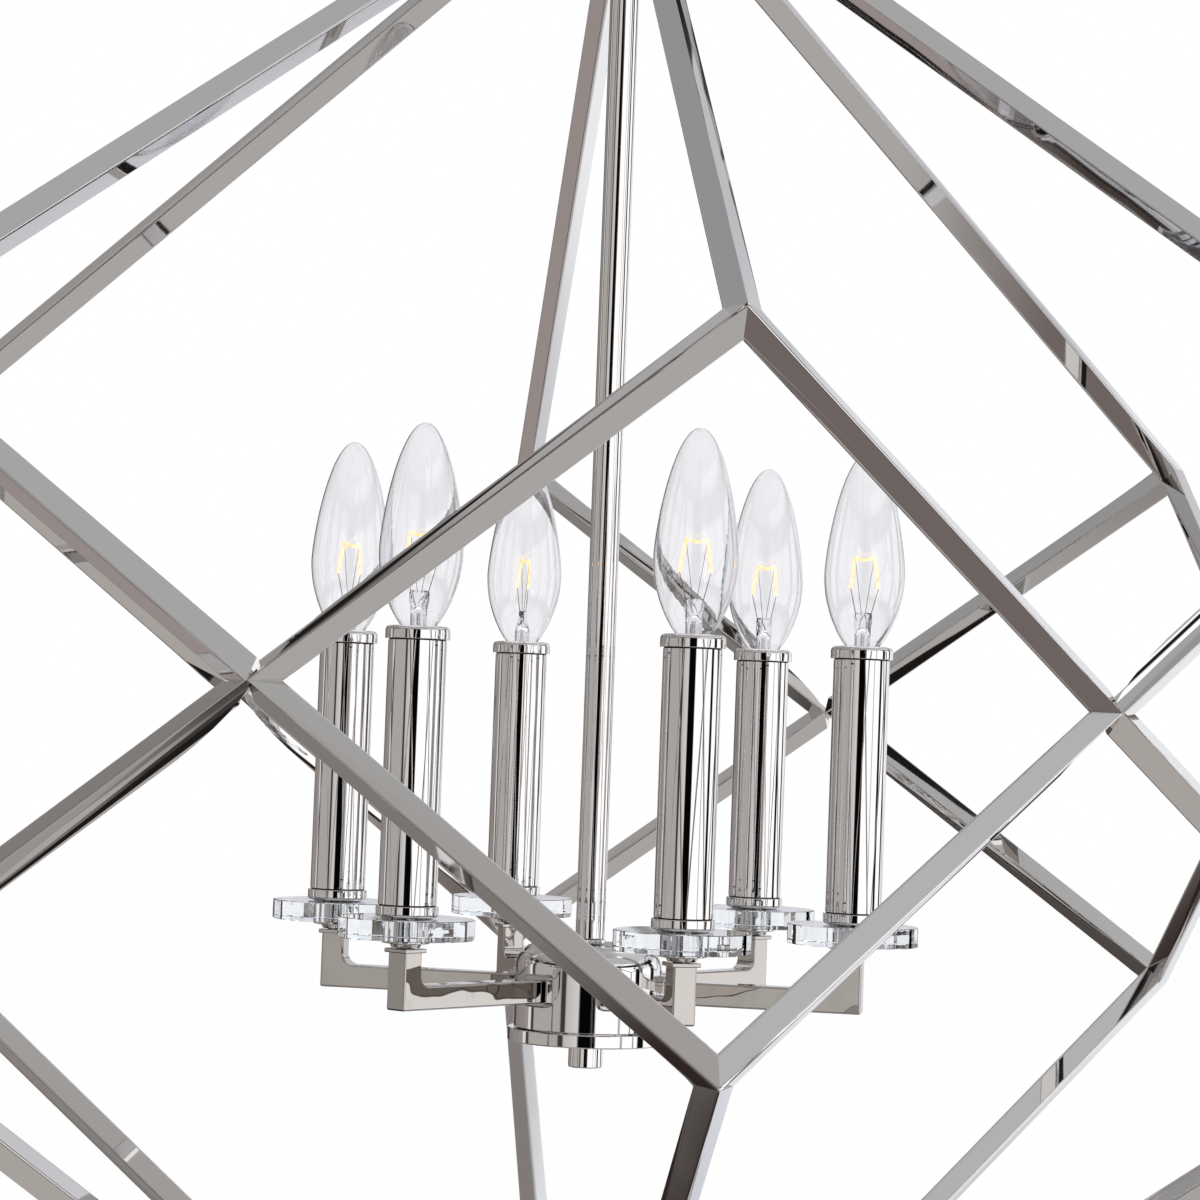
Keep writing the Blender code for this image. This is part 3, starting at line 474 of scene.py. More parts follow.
def waved_nickel(name, length, rise):
    """The polished plate again, with waves of another length and rise."""
    made = polished_nickel.copy()
    made.name = name
    for each in made.node_tree.nodes:
        if each.type == "BUMP":
            each.inputs["Distance"].default_value = rise
            each.inputs["Height"].links[0].from_node.inputs["Scale"].default_value = 1 / length
    return made


ground_nickel = waved_nickel("hand_ground_nickel", GRIND_LENGTH, GRIND_RISE)

TUBE_CORNER = 1.1 * MM
CORNER_STEPS = 8
SHORTEST_BAR_EDGE = 40.0 * MM
WELD_GAP = 0.3 * MM
FLAT_TOLERANCE = math.radians(3)
FLAT_AREA = 150.0 * MM * MM
SAME_CURVE = math.radians(14)


def crisp_normals(bm):
    """A normal for each corner of each face: a flat keeps its own, and a rounding follows the
    faces it runs into, so that the mitre between two bars stays a crisp line."""
    normals = []
    for face in bm.faces:
        flat = face.calc_area() > FLAT_AREA
        for vert in face.verts:
            run = Vector()
            for near in () if flat else vert.link_faces:
                if near.normal.angle(face.normal, math.pi) < SAME_CURVE:
                    run += near.normal * near.calc_area()
            normals.append(run.normalized() if run.length else face.normal.copy())
    return normals


for number in range(1, 7):
    name = f"cage_rib_{number}"
    bm = bmesh.new()
    bm.from_mesh(NODES[name].data)
    bmesh.ops.remove_doubles(bm, verts=bm.verts, dist=0.01 * MM)
    bmesh.ops.dissolve_limit(bm, angle_limit=FLAT_TOLERANCE, verts=bm.verts, edges=bm.edges)
    bmesh.ops.recalc_face_normals(bm, faces=bm.faces)
    for side in (-30, 30):
        turn = math.radians(60 * (number - 1) + side)
        across = Vector((math.cos(turn), math.sin(turn), 0))
        for vert in bm.verts:
            gap = vert.co.dot(across)
            if abs(gap) < WELD_GAP:
                bar_edge = max(vert.link_edges, key=bmesh.types.BMEdge.calc_length)
                along = (bar_edge.other_vert(vert).co - vert.co).normalized()
                vert.co -= along * gap / along.dot(across)
    bmesh.ops.bevel(
        bm, geom=[edge for edge in bm.edges if edge.calc_length() > SHORTEST_BAR_EDGE],
        offset=TUBE_CORNER, offset_type="OFFSET", segments=CORNER_STEPS, profile=0.5,
        affect="EDGES", clamp_overlap=True,
    )
    bm.normal_update()
    for face in bm.faces:
        face.smooth = True
    mesh = bpy.data.meshes.new(name + "_bars")
    bm.to_mesh(mesh)
    mesh.normals_split_custom_set(crisp_normals(bm))
    bm.free()
    piece(name + "_bars", mesh, ground_nickel, "polished_nickel", "pendant", name)


# Hub of the candle ring. A brass cup turned upside down with a full round shoulder, a plain
# bottom plate with a small bead, and the nut that holds them. A knurled ring tops the hub.

KNURLS = 30
KNURL_DEPTH = 0.6 * MM
low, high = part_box("rod_collar")
rings = []
for z, inset in ((low.z, 0.3), (low.z + 0.3 * MM, 0), (high.z - 0.3 * MM, 0), (high.z, 0.3)):
    ring = []
    for i, a in enumerate(circle(4 * KNURLS)):
        r = high.x - inset * MM - KNURL_DEPTH * (0.5 - 0.5 * math.cos(a * KNURLS))
        ring.append((r * math.cos(a), r * math.sin(a), z))
    rings.append(ring)
bore = [(PIPE_HOLE * math.cos(a), PIPE_HOLE * math.sin(a)) for a in circle(4 * KNURLS)]
rings.insert(0, [(x, y, low.z) for x, y in bore])
rings.append([(x, y, high.z) for x, y in bore])
rings.append(rings[0])
nickel("rod_knurled_ring", welded(grid_mesh("rod_knurled_ring", rings)), "rod_collar")

SHOULDER = 10.0 * MM
HUB_WALL = 3.5 * MM
low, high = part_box("hub_body")
hub_radius = high.y
cup = [
    (PIPE_HOLE, high.z, 0.3 * MM), (hub_radius, high.z, SHOULDER), (hub_radius, low.z, 0.4 * MM),
    (hub_radius - HUB_WALL, low.z, 0.3 * MM),
    (hub_radius - HUB_WALL, high.z - HUB_WALL, SHOULDER - HUB_WALL), (PIPE_HOLE, high.z - HUB_WALL),
]
nickel("hub_cup", turned("hub_cup", cup, 144, 14), "hub_body")

low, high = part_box("hub_cover")
step_radius = hub_radius - HUB_WALL - 0.3 * MM
face_top = low.z + 5.7 * MM
plate = [
    (PIPE_HOLE, high.z), (step_radius, high.z), (step_radius, face_top),
    (high.x, face_top, 0.5 * MM), (high.x, low.z, 0.6 * MM), (PIPE_HOLE, low.z),
]
nickel("hub_bottom_plate", turned("hub_bottom_plate", plate, 144), "hub_cover")

low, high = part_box("finial")
nut = [
    (0.0, low.z + 2.5 * MM), (PIPE_HOLE, low.z + 2.5 * MM), (PIPE_HOLE, high.z),
    (high.x, high.z, 0.3 * MM), (high.x, low.z, 0.6 * MM), (0.0, low.z),
]
nickel("hub_finial", turned("hub_finial", nut), "finial")


# Arms. An elbow of 10 mm square brass tube, mitred and soldered at its outer corner and filled
# to a small round inside, with a thick flange against the hub and a stepped cap at its top.

# Soldered arm nickel: the same plate over tube that was filed and scraped by hand round the solder,
# so it rolls every 20 mm and bends its reflections. Its base colour is a shade darker than the
# rest: painted shade.
FILE_WAVE = 20.0 * MM
FILE_RISE = 0.9 * MM
arm_nickel = waved_nickel("soldered_arm_nickel_painted_shade", FILE_WAVE, FILE_RISE)
# Darker base colour than the polished plate: painted shade on the arms.
arm_nickel.node_tree.nodes["Principled BSDF"].inputs["Base Color"].default_value = linear("#b9b4b0")

FIRST_AZIMUTH = math.radians(12.0)
RING_RADIUS = 114.0 * MM
ARM_HALF = 5.0 * MM
ARM_CORNER = 0.9 * MM
ARM_FILLET = 5.0 * MM
FLANGE_THICK = 2.5 * MM
FLANGE_HALF = 7.0 * MM
CAP_HALF = 6.2 * MM
CAP_THICK = 1.8 * MM
CANDLES = range(1, 7)
azimuth_of = {i: FIRST_AZIMUTH + math.radians(60) * (i - 1) for i in CANDLES}
candle_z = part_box("candle_sleeve_1")[0].z
arm_z = candle_z - 33.0 * MM
arm_top = candle_z - 12.7 * MM


def elbow(half, inner_end, top, fillet, steps=10):
    """The elbow's side view at azimuth 0, as a mesh across X."""
    low, high = arm_z - half, arm_z + half
    near, far = RING_RADIUS - half, RING_RADIUS + half
    bend = [
        (near - fillet + fillet * math.cos(a), high + fillet + fillet * math.sin(a))
        for a in (-math.pi / 2 * i / steps for i in range(steps + 1))
    ]
    side = [(inner_end, low), (far, low), (far, top), (near, top)] + bend + [(inner_end, high)]
    return extruded("elbow", [(-half, -r, z) for r, z in side], (2 * half, 0, 0))


def slab(name, low, high):
    (x0, y0, z0), (x1, y1, z1) = low, high
    return extruded(name, [(x0, y0, z0), (x1, y0, z0), (x1, y1, z0), (x0, y1, z0)], (0, 0, z1 - z0))


def rounded_plate(name, half, radius, y0, y1, z_middle, steps=6):
    """A square plate facing -Y with rounded corners."""
    points = []
    for quarter, (sx, sz) in enumerate(((1, 1), (-1, 1), (-1, -1), (1, -1))):
        for step in range(steps + 1):
            a = math.pi / 2 * (quarter + step / steps)
            x = sx * (half - radius) + radius * math.cos(a)
            z = z_middle + sz * (half - radius) + radius * math.sin(a)
            points.append((x, y0, z))
    return extruded(name, points, (0, y1 - y0, 0))


hub_face = -(hub_radius + 0.3 * MM)
tube_mesh = elbow(ARM_HALF, hub_radius - 6.0 * MM, arm_top - CAP_THICK / 2, ARM_FILLET)
tube_mesh.shade_smooth()
flange_mesh = rounded_plate(
    "arm_flange", FLANGE_HALF, 3.0 * MM, hub_face - FLANGE_THICK, hub_face + 1.5 * MM, arm_z
)
flange_mesh.shade_smooth()
cap_mesh = slab(
    "arm_cap", (-CAP_HALF, -RING_RADIUS - CAP_HALF, arm_top - CAP_THICK),
    (CAP_HALF, -RING_RADIUS + CAP_HALF, arm_top),
)
cap_mesh.shade_smooth()
for i in CANDLES:
    for part, mesh, edge, stands_for in (
        ("elbow", tube_mesh, ARM_CORNER, (f"arm_{i}",)), ("flange", flange_mesh, 0.9 * MM, ()),
        ("cap", cap_mesh, 0.45 * MM, ()),
    ):
        obj = piece(
            f"arm_{i}_{part}", mesh, arm_nickel, "polished_nickel", "pendant", *stands_for,
            azimuth=azimuth_of[i],
        )
        break_edges(obj, edge, angle=25)


# Candle cups. Turned brass seats, screwed down on the arms, with a boss that stands up through
# the crystal and carries the candle.

def on_ring(i, z):
    """The place at this height on the axis of one candle."""
    a = azimuth_of[i]
    return Vector((RING_RADIUS * math.sin(a), -RING_RADIUS * math.cos(a), z))


POST = 3.8 * MM
BOSS = 5.8 * MM
CUP = 10.0 * MM
cup = [
    (POST, -0.3 * MM), (BOSS, -0.3 * MM, 0.3 * MM), (BOSS, -8.9 * MM), (CUP, -8.9 * MM, 0.3 * MM),
    (CUP, -10.6 * MM, 0.6 * MM), (BOSS + 0.8 * MM, -10.9 * MM, 0.3 * MM), (BOSS, -12.4 * MM),
    (POST, -12.4 * MM),
]
cup_mesh = turned("candle_seat", cup, 72)
for i in CANDLES:
    nickel(f"candle_seat_{i}", cup_mesh, f"candle_cup_{i}", at=on_ring(i, candle_z))


# Crystals. Discs of clear lead crystal, 8 mm thick, whose edge is ground into twenty-four flat
# facets and polished bright. They only rest on the cups.

# Lead crystal: clear, with a high index that makes its cut edge flash, and a breath of blue.
crystal, tree, shader = finish_of(
    "lead_crystal", Base_Color=linear("#f1f4f8"), IOR=1.55, Transmission_Weight=1.0
)
GRIND = 2.5 * MM
where = node(tree, "ShaderNodeTexCoord").outputs["Object"]
ground = node(tree, "ShaderNodeTexNoise", Vector=where, Scale=1 / GRIND, Detail=1.0)
haze = node(
    tree, "ShaderNodeMapRange", Value=ground.outputs["Fac"], To_Min=0.0, To_Max=0.02
)
relief = node(
    tree, "ShaderNodeBump", Height=ground.outputs["Fac"], Distance=0.01 * MM, Strength=1.0
)
tree.links.new(haze.outputs["Result"], shader.inputs["Roughness"])
tree.links.new(relief.outputs["Normal"], shader.inputs["Normal"])

CRYSTAL = 28.0 * MM
FACETS = 24
CRYSTAL_BORE = 6.1 * MM
CRYSTAL_EDGE = 0.25 * MM
low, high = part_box("bobeche_1")
crystal_top, crystal_end = high.z - candle_z, low.z - candle_z
rings = []
for radius, z in (
    (CRYSTAL_BORE, crystal_end), (CRYSTAL - CRYSTAL_EDGE, crystal_end),
    (CRYSTAL, crystal_end + CRYSTAL_EDGE), (CRYSTAL, crystal_top - CRYSTAL_EDGE),
    (CRYSTAL - CRYSTAL_EDGE, crystal_top), (CRYSTAL_BORE, crystal_top),
):
    rings.append([(radius * math.sin(a), -radius * math.cos(a), z) for a in circle(FACETS)])
rings.append(rings[0])
crystal_mesh = welded(grid_mesh("crystal_disc", rings), math.radians(10))
for i in CANDLES:
    piece(
        f"crystal_disc_{i}", crystal_mesh, crystal, "crystal", "pendant", f"bobeche_{i}",
        at=on_ring(i, candle_z), azimuth=azimuth_of[i],
    )


# Candle sleeves. Drawn brass tube, polished and plated, with a rolled ring soldered round its
# foot and a stepped cap with a round edge round its top. They hide the lamp holders.

SLEEVE = 12.0 * MM
SLEEVE_WALL = 1.3 * MM
FOOT = 12.9 * MM
FOOT_HEIGHT = 4.6 * MM
RIM = 13.35 * MM
RIM_HEIGHT = 5.4 * MM
SLEEVE_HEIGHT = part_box("candle_sleeve_1")[1].z - candle_z
GROOVE = 0.35 * MM
GROOVE_HEIGHT = 0.55 * MM
inside = SLEEVE - SLEEVE_WALL
rim_under = SLEEVE_HEIGHT - RIM_HEIGHT
sleeve = [
    (inside, 0.0), (FOOT, 0.0, 1.4 * MM), (FOOT, FOOT_HEIGHT, 0.3 * MM),
    (SLEEVE - GROOVE, FOOT_HEIGHT), (SLEEVE - GROOVE, FOOT_HEIGHT + GROOVE_HEIGHT),
    (SLEEVE, FOOT_HEIGHT + GROOVE_HEIGHT), (SLEEVE, rim_under - GROOVE_HEIGHT),
    (SLEEVE - GROOVE, rim_under - GROOVE_HEIGHT), (SLEEVE - GROOVE, rim_under),
    (RIM, rim_under, 0.25 * MM), (RIM, SLEEVE_HEIGHT, 2.0 * MM),
    (inside, SLEEVE_HEIGHT, 0.5 * MM),
]
sleeve_mesh = turned("candle_tube", sleeve, 96, 6)

# Groove nickel: plate in the grooves, rough and dull, with a dark base colour that is painted shade
# for the shadow line under the rim and above the foot.
groove_painted_shade, tree, shader = finish_of(
    "groove_nickel_painted_shade", Metallic=1.0, Base_Color=linear("#2f2b2a")
)
where = node(tree, "ShaderNodeTexCoord").outputs["Object"]
bath = node(tree, "ShaderNodeTexNoise", Vector=where, Scale=1 / (1.5 * MM), Detail=2.0)
haze = node(tree, "ShaderNodeMapRange", Value=bath.outputs["Fac"], To_Min=0.4, To_Max=0.6)
tree.links.new(haze.outputs["Result"], shader.inputs["Roughness"])
sleeve_mesh.materials.append(polished_nickel)
sleeve_mesh.materials.append(groove_painted_shade)
# The faces of the two grooves take the dark finish: painted shade under the rim and above the foot.
for face in sleeve_mesh.polygons:
    in_wall = inside + GROOVE < face.center.xy.length < SLEEVE - 0.1 * MM
    if in_wall and 0.1 * MM < face.center.z < rim_under + 0.1 * MM:
        face.material_index = 1
for i in CANDLES:
    nickel(f"candle_tube_{i}", sleeve_mesh, f"candle_sleeve_{i}", at=on_ring(i, candle_z))


# Lamp holders. Black phenolic, moulded round a thin brass screw shell, on a post screwed into
# the arm. They show only when a bulb is out.

# Phenolic: a hard black moulding with a low sheen and a fine flow pattern, about 2 mm apart.
phenolic, tree, shader = finish_of("black_phenolic", Base_Color=linear("#1b1a19"), IOR=1.55)
where = node(tree, "ShaderNodeTexCoord").outputs["Object"]
flow = node(tree, "ShaderNodeTexNoise", Vector=where, Scale=1 / (2.0 * MM), Detail=3.0)
haze = node(tree, "ShaderNodeMapRange", Value=flow.outputs["Fac"], To_Min=0.35, To_Max=0.5)
tree.links.new(haze.outputs["Result"], shader.inputs["Roughness"])

# Stamped brass: bare yellow metal with a dull bright surface from the press.
brass, tree, shader = finish_of("stamped_brass", Metallic=1.0, Base_Color=linear("#d8b26a"))
where = node(tree, "ShaderNodeTexCoord").outputs["Object"]
press = node(tree, "ShaderNodeTexNoise", Vector=where, Scale=1 / (1.5 * MM), Detail=2.0)
haze = node(tree, "ShaderNodeMapRange", Value=press.outputs["Fac"], To_Min=0.2, To_Max=0.34)
tree.links.new(haze.outputs["Result"], shader.inputs["Roughness"])

LAMP_THREAD = 2.54 * MM  # pitch of the candelabra screw, 10 turns to the inch
low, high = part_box("socket_1")
post_end, holder_top = low.z - candle_z, high.z - candle_z
holder_low = 55.0 * MM
holder_wide = 10.2 * MM
bore, bore_end = 6.9 * MM, holder_top - 24.0 * MM
holder = [
    (0.0, post_end), (3.5 * MM, post_end, 0.4 * MM), (3.5 * MM, holder_low),
    (holder_wide - 1.2 * MM, holder_low, 0.6 * MM), (holder_wide, holder_low + 2.0 * MM, 0.6 * MM),
    (holder_wide, holder_top, 0.5 * MM), (bore, holder_top, 0.4 * MM), (bore, bore_end),
    (0.0, bore_end),
]
holder_mesh = turned("lamp_holder", holder, 64)
shell_mesh = threaded(
    "lamp_shell", bore - 0.05 * MM, 0.25 * MM, LAMP_THREAD, holder_top - 1.0 * MM,
    bore_end + 6.0 * MM, bore - 0.45 * MM,
)
for i in CANDLES:
    true_flats(piece(
        f"lamp_holder_{i}", holder_mesh, phenolic, "socket_phenolic", "pendant", f"socket_{i}",
        at=on_ring(i, candle_z),
    ))
    piece(
        f"lamp_shell_{i}", shell_mesh, brass, "socket_phenolic", "pendant", at=on_ring(i, candle_z)
    )


# Bulbs. Clear torpedo lamps on a candelabra screw base: a thin blown envelope, a pressed glass
# stem with an exhaust tube, two lead wires, two supports and a coiled tungsten filament.

# Lamp glass: thin clear soda lime, faintly grey, with vertical draw lines about 3 mm apart that
# only stir its highlights.
lamp_glass, tree, shader = finish_of(
    "blown_lamp_glass", Base_Color=linear("#f9f9fb"), IOR=1.5, Transmission_Weight=1.0,
    Roughness=0.0,
)
where = node(tree, "ShaderNodeTexCoord").outputs["Object"]
drawn = node(tree, "ShaderNodeMapping", Vector=where, Scale=(1.0, 1.0, 0.06))
lines = node(
    tree, "ShaderNodeTexNoise", Vector=drawn.outputs["Vector"], Scale=1 / (3.0 * MM), Detail=2.0
)
relief = node(
    tree, "ShaderNodeBump", Height=lines.outputs["Fac"], Distance=0.012 * MM, Strength=1.0
)
tree.links.new(relief.outputs["Normal"], shader.inputs["Normal"])

# Plated lamp cap: thin brass, nickel plated and rolled, duller than the fitting.
lamp_cap, tree, shader = finish_of("rolled_nickel_cap", Metallic=1.0, Base_Color=linear("#cfccc6"))
where = node(tree, "ShaderNodeTexCoord").outputs["Object"]
rolled = node(tree, "ShaderNodeTexNoise", Vector=where, Scale=1 / (1.0 * MM), Detail=2.0)
haze = node(tree, "ShaderNodeMapRange", Value=rolled.outputs["Fac"], To_Min=0.14, To_Max=0.26)
tree.links.new(haze.outputs["Result"], shader.inputs["Roughness"])

# Support wire: drawn molybdenum, dark grey from the heat.
wire_metal, tree, shader = finish_of("molybdenum_wire", Metallic=1.0)
where = node(tree, "ShaderNodeTexCoord").outputs["Object"]
heat = node(tree, "ShaderNodeTexNoise", Vector=where, Scale=1 / (4.0 * MM), Detail=1.0)
shade = node(tree, "ShaderNodeValToRGB", Fac=heat.outputs["Fac"])
shade.color_ramp.elements[0].color = linear("#4a4644")
shade.color_ramp.elements[1].color = linear("#7d7774")
tree.links.new(shade.outputs["Color"], shader.inputs["Base Color"])
shader.inputs["Roughness"].default_value = 0.35

# Lit tungsten: white hot in the middle of the coil and yellower towards the cool ends.
tungsten, tree, shader = finish_of("lit_tungsten", Base_Color=linear("#5a5650"), Roughness=0.5)
where = node(tree, "ShaderNodeTexCoord").outputs["Object"]
coil = node(tree, "ShaderNodeTexNoise", Vector=where, Scale=1 / (3.0 * MM), Detail=0.0)
glow = node(tree, "ShaderNodeValToRGB", Fac=coil.outputs["Fac"])
glow.color_ramp.elements[0].color = linear("#ff9d4d")
glow.color_ramp.elements[1].color = linear("#ffe6b8")
tree.links.new(glow.outputs["Color"], shader.inputs["Emission Color"])
shader.inputs["Emission Strength"].default_value = 1.8

ENVELOPE = 17.3 * MM
ENVELOPE_NECK = 7.2 * MM
ENVELOPE_WIDEST = 31.0 * MM
ENVELOPE_HEIGHT = 83.5 * MM
GLASS = 0.3 * MM


def envelope_radius(z):
    """The blown shape: it swells from the neck to its widest, then closes in to the tip."""
    if z < ENVELOPE_WIDEST:
        grown = (1 - (1 - z / ENVELOPE_WIDEST) ** 2.0) ** 0.9
        return ENVELOPE_NECK + (ENVELOPE - ENVELOPE_NECK) * grown
    part = (z - ENVELOPE_WIDEST) / (ENVELOPE_HEIGHT - ENVELOPE_WIDEST)
    return ENVELOPE * (1 - min(part, 1.0) ** 1.4) ** 0.5


def envelope_mesh():
    """Outer and inner skin of the glass as one closed shell, open at the neck."""
    lower = [ENVELOPE_WIDEST * i / 20 for i in range(20)]
    upper = [
        ENVELOPE_WIDEST + (ENVELOPE_HEIGHT - ENVELOPE_WIDEST) * math.sin(math.pi / 2 * i / 34)
        for i in range(35)
    ]
    outer = [(envelope_radius(z), z) for z in lower + upper]
    outer[0:0] = [(ENVELOPE_NECK - 1.3 * MM, -4.0 * MM), (ENVELOPE_NECK - 0.4 * MM, -1.5 * MM)]
    outer[-1] = (0.0, ENVELOPE_HEIGHT)
    inner = []
    for i, (r, z) in enumerate(outer):
        before, after = outer[max(i - 1, 0)], outer[min(i + 1, len(outer) - 1)]
        along = Vector((after[0] - before[0], after[1] - before[1])).normalized()
        if i == len(outer) - 1:
            along = Vector((-1.0, 0.0))
        inner.append((max(r - GLASS * along.y, 0.0), z + GLASS * along.x))
    inner = [p for p in inner[:-1] if p[0] > 0.2 * MM] + [(0.0, ENVELOPE_HEIGHT - GLASS)]
    bm = bmesh.new()
    skins = []
    for outline in (outer, inner):
        rows = [
            [bm.verts.new((r * math.cos(a), r * math.sin(a), z)) for a in circle(72)]
            for r, z in outline[:-1]
        ]
        tip = bm.verts.new((0, 0, outline[-1][1]))
        for lower_row, upper_row in zip(rows, rows[1:]):
            for i in range(72):
                bm.faces.new((lower_row[i - 1], lower_row[i], upper_row[i], upper_row[i - 1]))
        for i in range(72):
            bm.faces.new((rows[-1][i - 1], rows[-1][i], tip))
        skins.append(rows[0])
    for i in range(72):
        bm.faces.new((skins[0][i - 1], skins[0][i], skins[1][i], skins[1][i - 1]))
    bmesh.ops.recalc_face_normals(bm, faces=bm.faces)
    mesh = bpy.data.meshes.new("envelope")
    bm.to_mesh(mesh)
    bm.free()
    mesh.shade_smooth()
    return mesh


def oval(half_x, half_y, z, steps=32):
    return [(half_x * math.cos(a), half_y * math.sin(a), z) for a in circle(steps)]


STEM_TUBE = 3.4 * MM
PINCH_WIDE = 4.2 * MM
PINCH_THIN = 1.1 * MM
PINCH_TOP = 14.5 * MM
PINCH_OVAL = (3.4 * MM, 0.8 * MM)
stem_rings = [
    oval(0.8 * MM, 0.3 * MM, 8.6 * MM), oval(2.4 * MM, 1.9 * MM, 6.0 * MM),
    oval(2.7 * MM, 2.7 * MM, 4.0 * MM), oval(2.7 * MM, 2.7 * MM, 0.0),
    oval(5.4 * MM, 5.4 * MM, -4.5 * MM), oval(6.2 * MM, 6.2 * MM, -4.5 * MM),
    oval(4.6 * MM, 4.6 * MM, -3.0 * MM),
    oval(STEM_TUBE, STEM_TUBE, 0.0), oval(STEM_TUBE, STEM_TUBE, 5.0 * MM),
    oval(3.5 * MM, 2.9 * MM, 7.5 * MM), oval(PINCH_WIDE, PINCH_THIN, 10.5 * MM),
    oval(PINCH_WIDE, PINCH_THIN, 13.6 * MM), oval(*PINCH_OVAL, PINCH_TOP),
]


def wire(name, points, radius, steps=12):
    """A round wire along a line of points, with flat ends."""
    rings = []
    for i, p in enumerate(points):
        along = (points[min(i + 1, len(points) - 1)] - points[max(i - 1, 0)]).normalized()
        turn = Vector((0, 0, 1)).rotation_difference(along).to_matrix()
        rings.append([
            p + turn @ Vector((radius * math.cos(a), radius * math.sin(a), 0))
            for a in circle(steps)
        ])
    return grid_mesh(name, rings, closed_ends=True)


def joined(name, meshes):
    bm = bmesh.new()
    for mesh in meshes:
        bm.from_mesh(mesh)
    mesh = bpy.data.meshes.new(name)
    bm.to_mesh(mesh)
    bm.free()
    return mesh


LEAD_FOOT = Vector((2.9, 0.0, 11.0)) * MM
LEAD_TIP = Vector((6.6, 0.5, 25.0)) * MM
HOOK_FOOT = Vector((0.8, 0.0, 13.5)) * MM
HOOK_TIP = Vector((4.6, -0.4, 38.5)) * MM
WIRE = 0.16 * MM
FILAMENT = 0.5 * MM
FILAMENT_PITCH = 0.9 * MM
FILAMENT_WIRE = 0.3 * MM
flip = Vector((-1, 1, 1))
supports = []
for way in (Vector((1, 1, 1)), flip):
    for foot, tip, thick in ((LEAD_FOOT, LEAD_TIP, WIRE), (HOOK_FOOT, HOOK_TIP, WIRE * 0.7)):
        a, b = foot * way, tip * way
        supports.append(wire("support", [a, a.lerp(b, 0.15), a.lerp(b, 0.6), b], thick))
supports_mesh = joined("lamp_supports", supports)

sag = Vector((0, 0, 1.2)) * MM
line = [LEAD_TIP * flip, HOOK_TIP * flip, HOOK_TIP, LEAD_TIP]
path = []
for a, b in zip(line, line[1:]):
    length = (b - a).length
    for step in range(round(length / (FILAMENT_PITCH / 10))):
        part = step / round(length / (FILAMENT_PITCH / 10))
        path.append(a.lerp(b, part) - sag * math.sin(math.pi * part) * (a.z == b.z))
coil_points = []
for i, p in enumerate(path):
    along = (path[min(i + 3, len(path) - 1)] - path[max(i - 3, 0)]).normalized()
    turn = Vector((0, 0, 1)).rotation_difference(along).to_matrix()
    a = 2 * math.pi * i / 10
    coil_points.append(p + turn @ Vector((FILAMENT * math.cos(a), FILAMENT * math.sin(a), 0)))
filament_mesh = wire("lamp_filament", coil_points, FILAMENT_WIRE, 6)

envelope = envelope_mesh()
stem_mesh = grid_mesh("lamp_stem", stem_rings, closed_ends=True)
exhaust = [(0.9, 5.6), (0.9, 3.0), (0.9, -4.0), (0.45, -4.0), (0.45, 5.6)]
exhaust_mesh = turned("exhaust_tube", [(r * MM, z * MM) for r, z in exhaust], 24)
CAP_RADIUS = 6.2 * MM
CAP_TOP = -1.2 * MM
CAP_END = -24.5 * MM
cap_skin = threaded(
    "lamp_cap_shell", CAP_RADIUS, 0.45 * MM, LAMP_THREAD, -6.5 * MM, CAP_END, 5.2 * MM
)
collar = [
    (CAP_RADIUS - 0.1 * MM, CAP_TOP, 0.2 * MM), (CAP_RADIUS - 0.1 * MM, -6.6 * MM),
    (5.4 * MM, -6.6 * MM), (5.4 * MM, CAP_TOP, 0.2 * MM),
]
collar_mesh = turned("lamp_cap_collar", collar, 48)
seat = [(0.0, CAP_END + 0.3 * MM), (5.0 * MM, CAP_END + 0.3 * MM), (5.5 * MM, CAP_END, 0.2 * MM)]
seat += [(3.0 * MM, -26.6 * MM, 0.3 * MM), (0.0, -26.6 * MM)]
insulator_mesh = turned("lamp_insulator", seat, 48)
contact = [
    (0.0, -26.4 * MM), (2.6 * MM, -26.4 * MM), (1.9 * MM, -27.9 * MM, 0.8 * MM),
    (0.0, -28.0 * MM),
]
contact_mesh = turned("lamp_contact", contact, 32)

BULB_TURNS = {1: 8, 2: -38, 3: 24, 4: 62, 5: 40, 6: -15}
for i in CANDLES:
    body = f"bulb_{i}"
    at = on_ring(i, candle_z + SLEEVE_HEIGHT)
    turn = math.radians(BULB_TURNS[i])
    for part, mesh, finish, stands_for in (
        ("envelope", envelope, lamp_glass, (body,)), ("stem", stem_mesh, lamp_glass, ()),
        ("exhaust", exhaust_mesh, lamp_glass, ()), ("supports", supports_mesh, wire_metal, ()),
        ("filament", filament_mesh, tungsten, ()), ("cap", cap_skin, lamp_cap, ()),
        ("collar", collar_mesh, lamp_cap, ()), ("insulator", insulator_mesh, phenolic, ()),
        ("contact", contact_mesh, lamp_cap, ()),
    ):
        obj = piece(f"{body}_{part}", mesh, finish, "bulb_glass", body, *stands_for,
                    at=at, azimuth=turn)
        if part == "filament":
            obj.visible_diffuse = False
            obj.visible_shadow = False


# Floor. Pale painted boards would do: a plain floor at a room's height under the fitting. It
# stays out of the metal's reflections, which the studio's cards fill.

FLOOR_Z = -2.3
FLOOR_HALF = 30.0
FLOOR_THICK = 0.1
floor_mesh = slab(
    "floor", (-FLOOR_HALF, -FLOOR_HALF, FLOOR_Z - FLOOR_THICK), (FLOOR_HALF, FLOOR_HALF, FLOOR_Z)
)

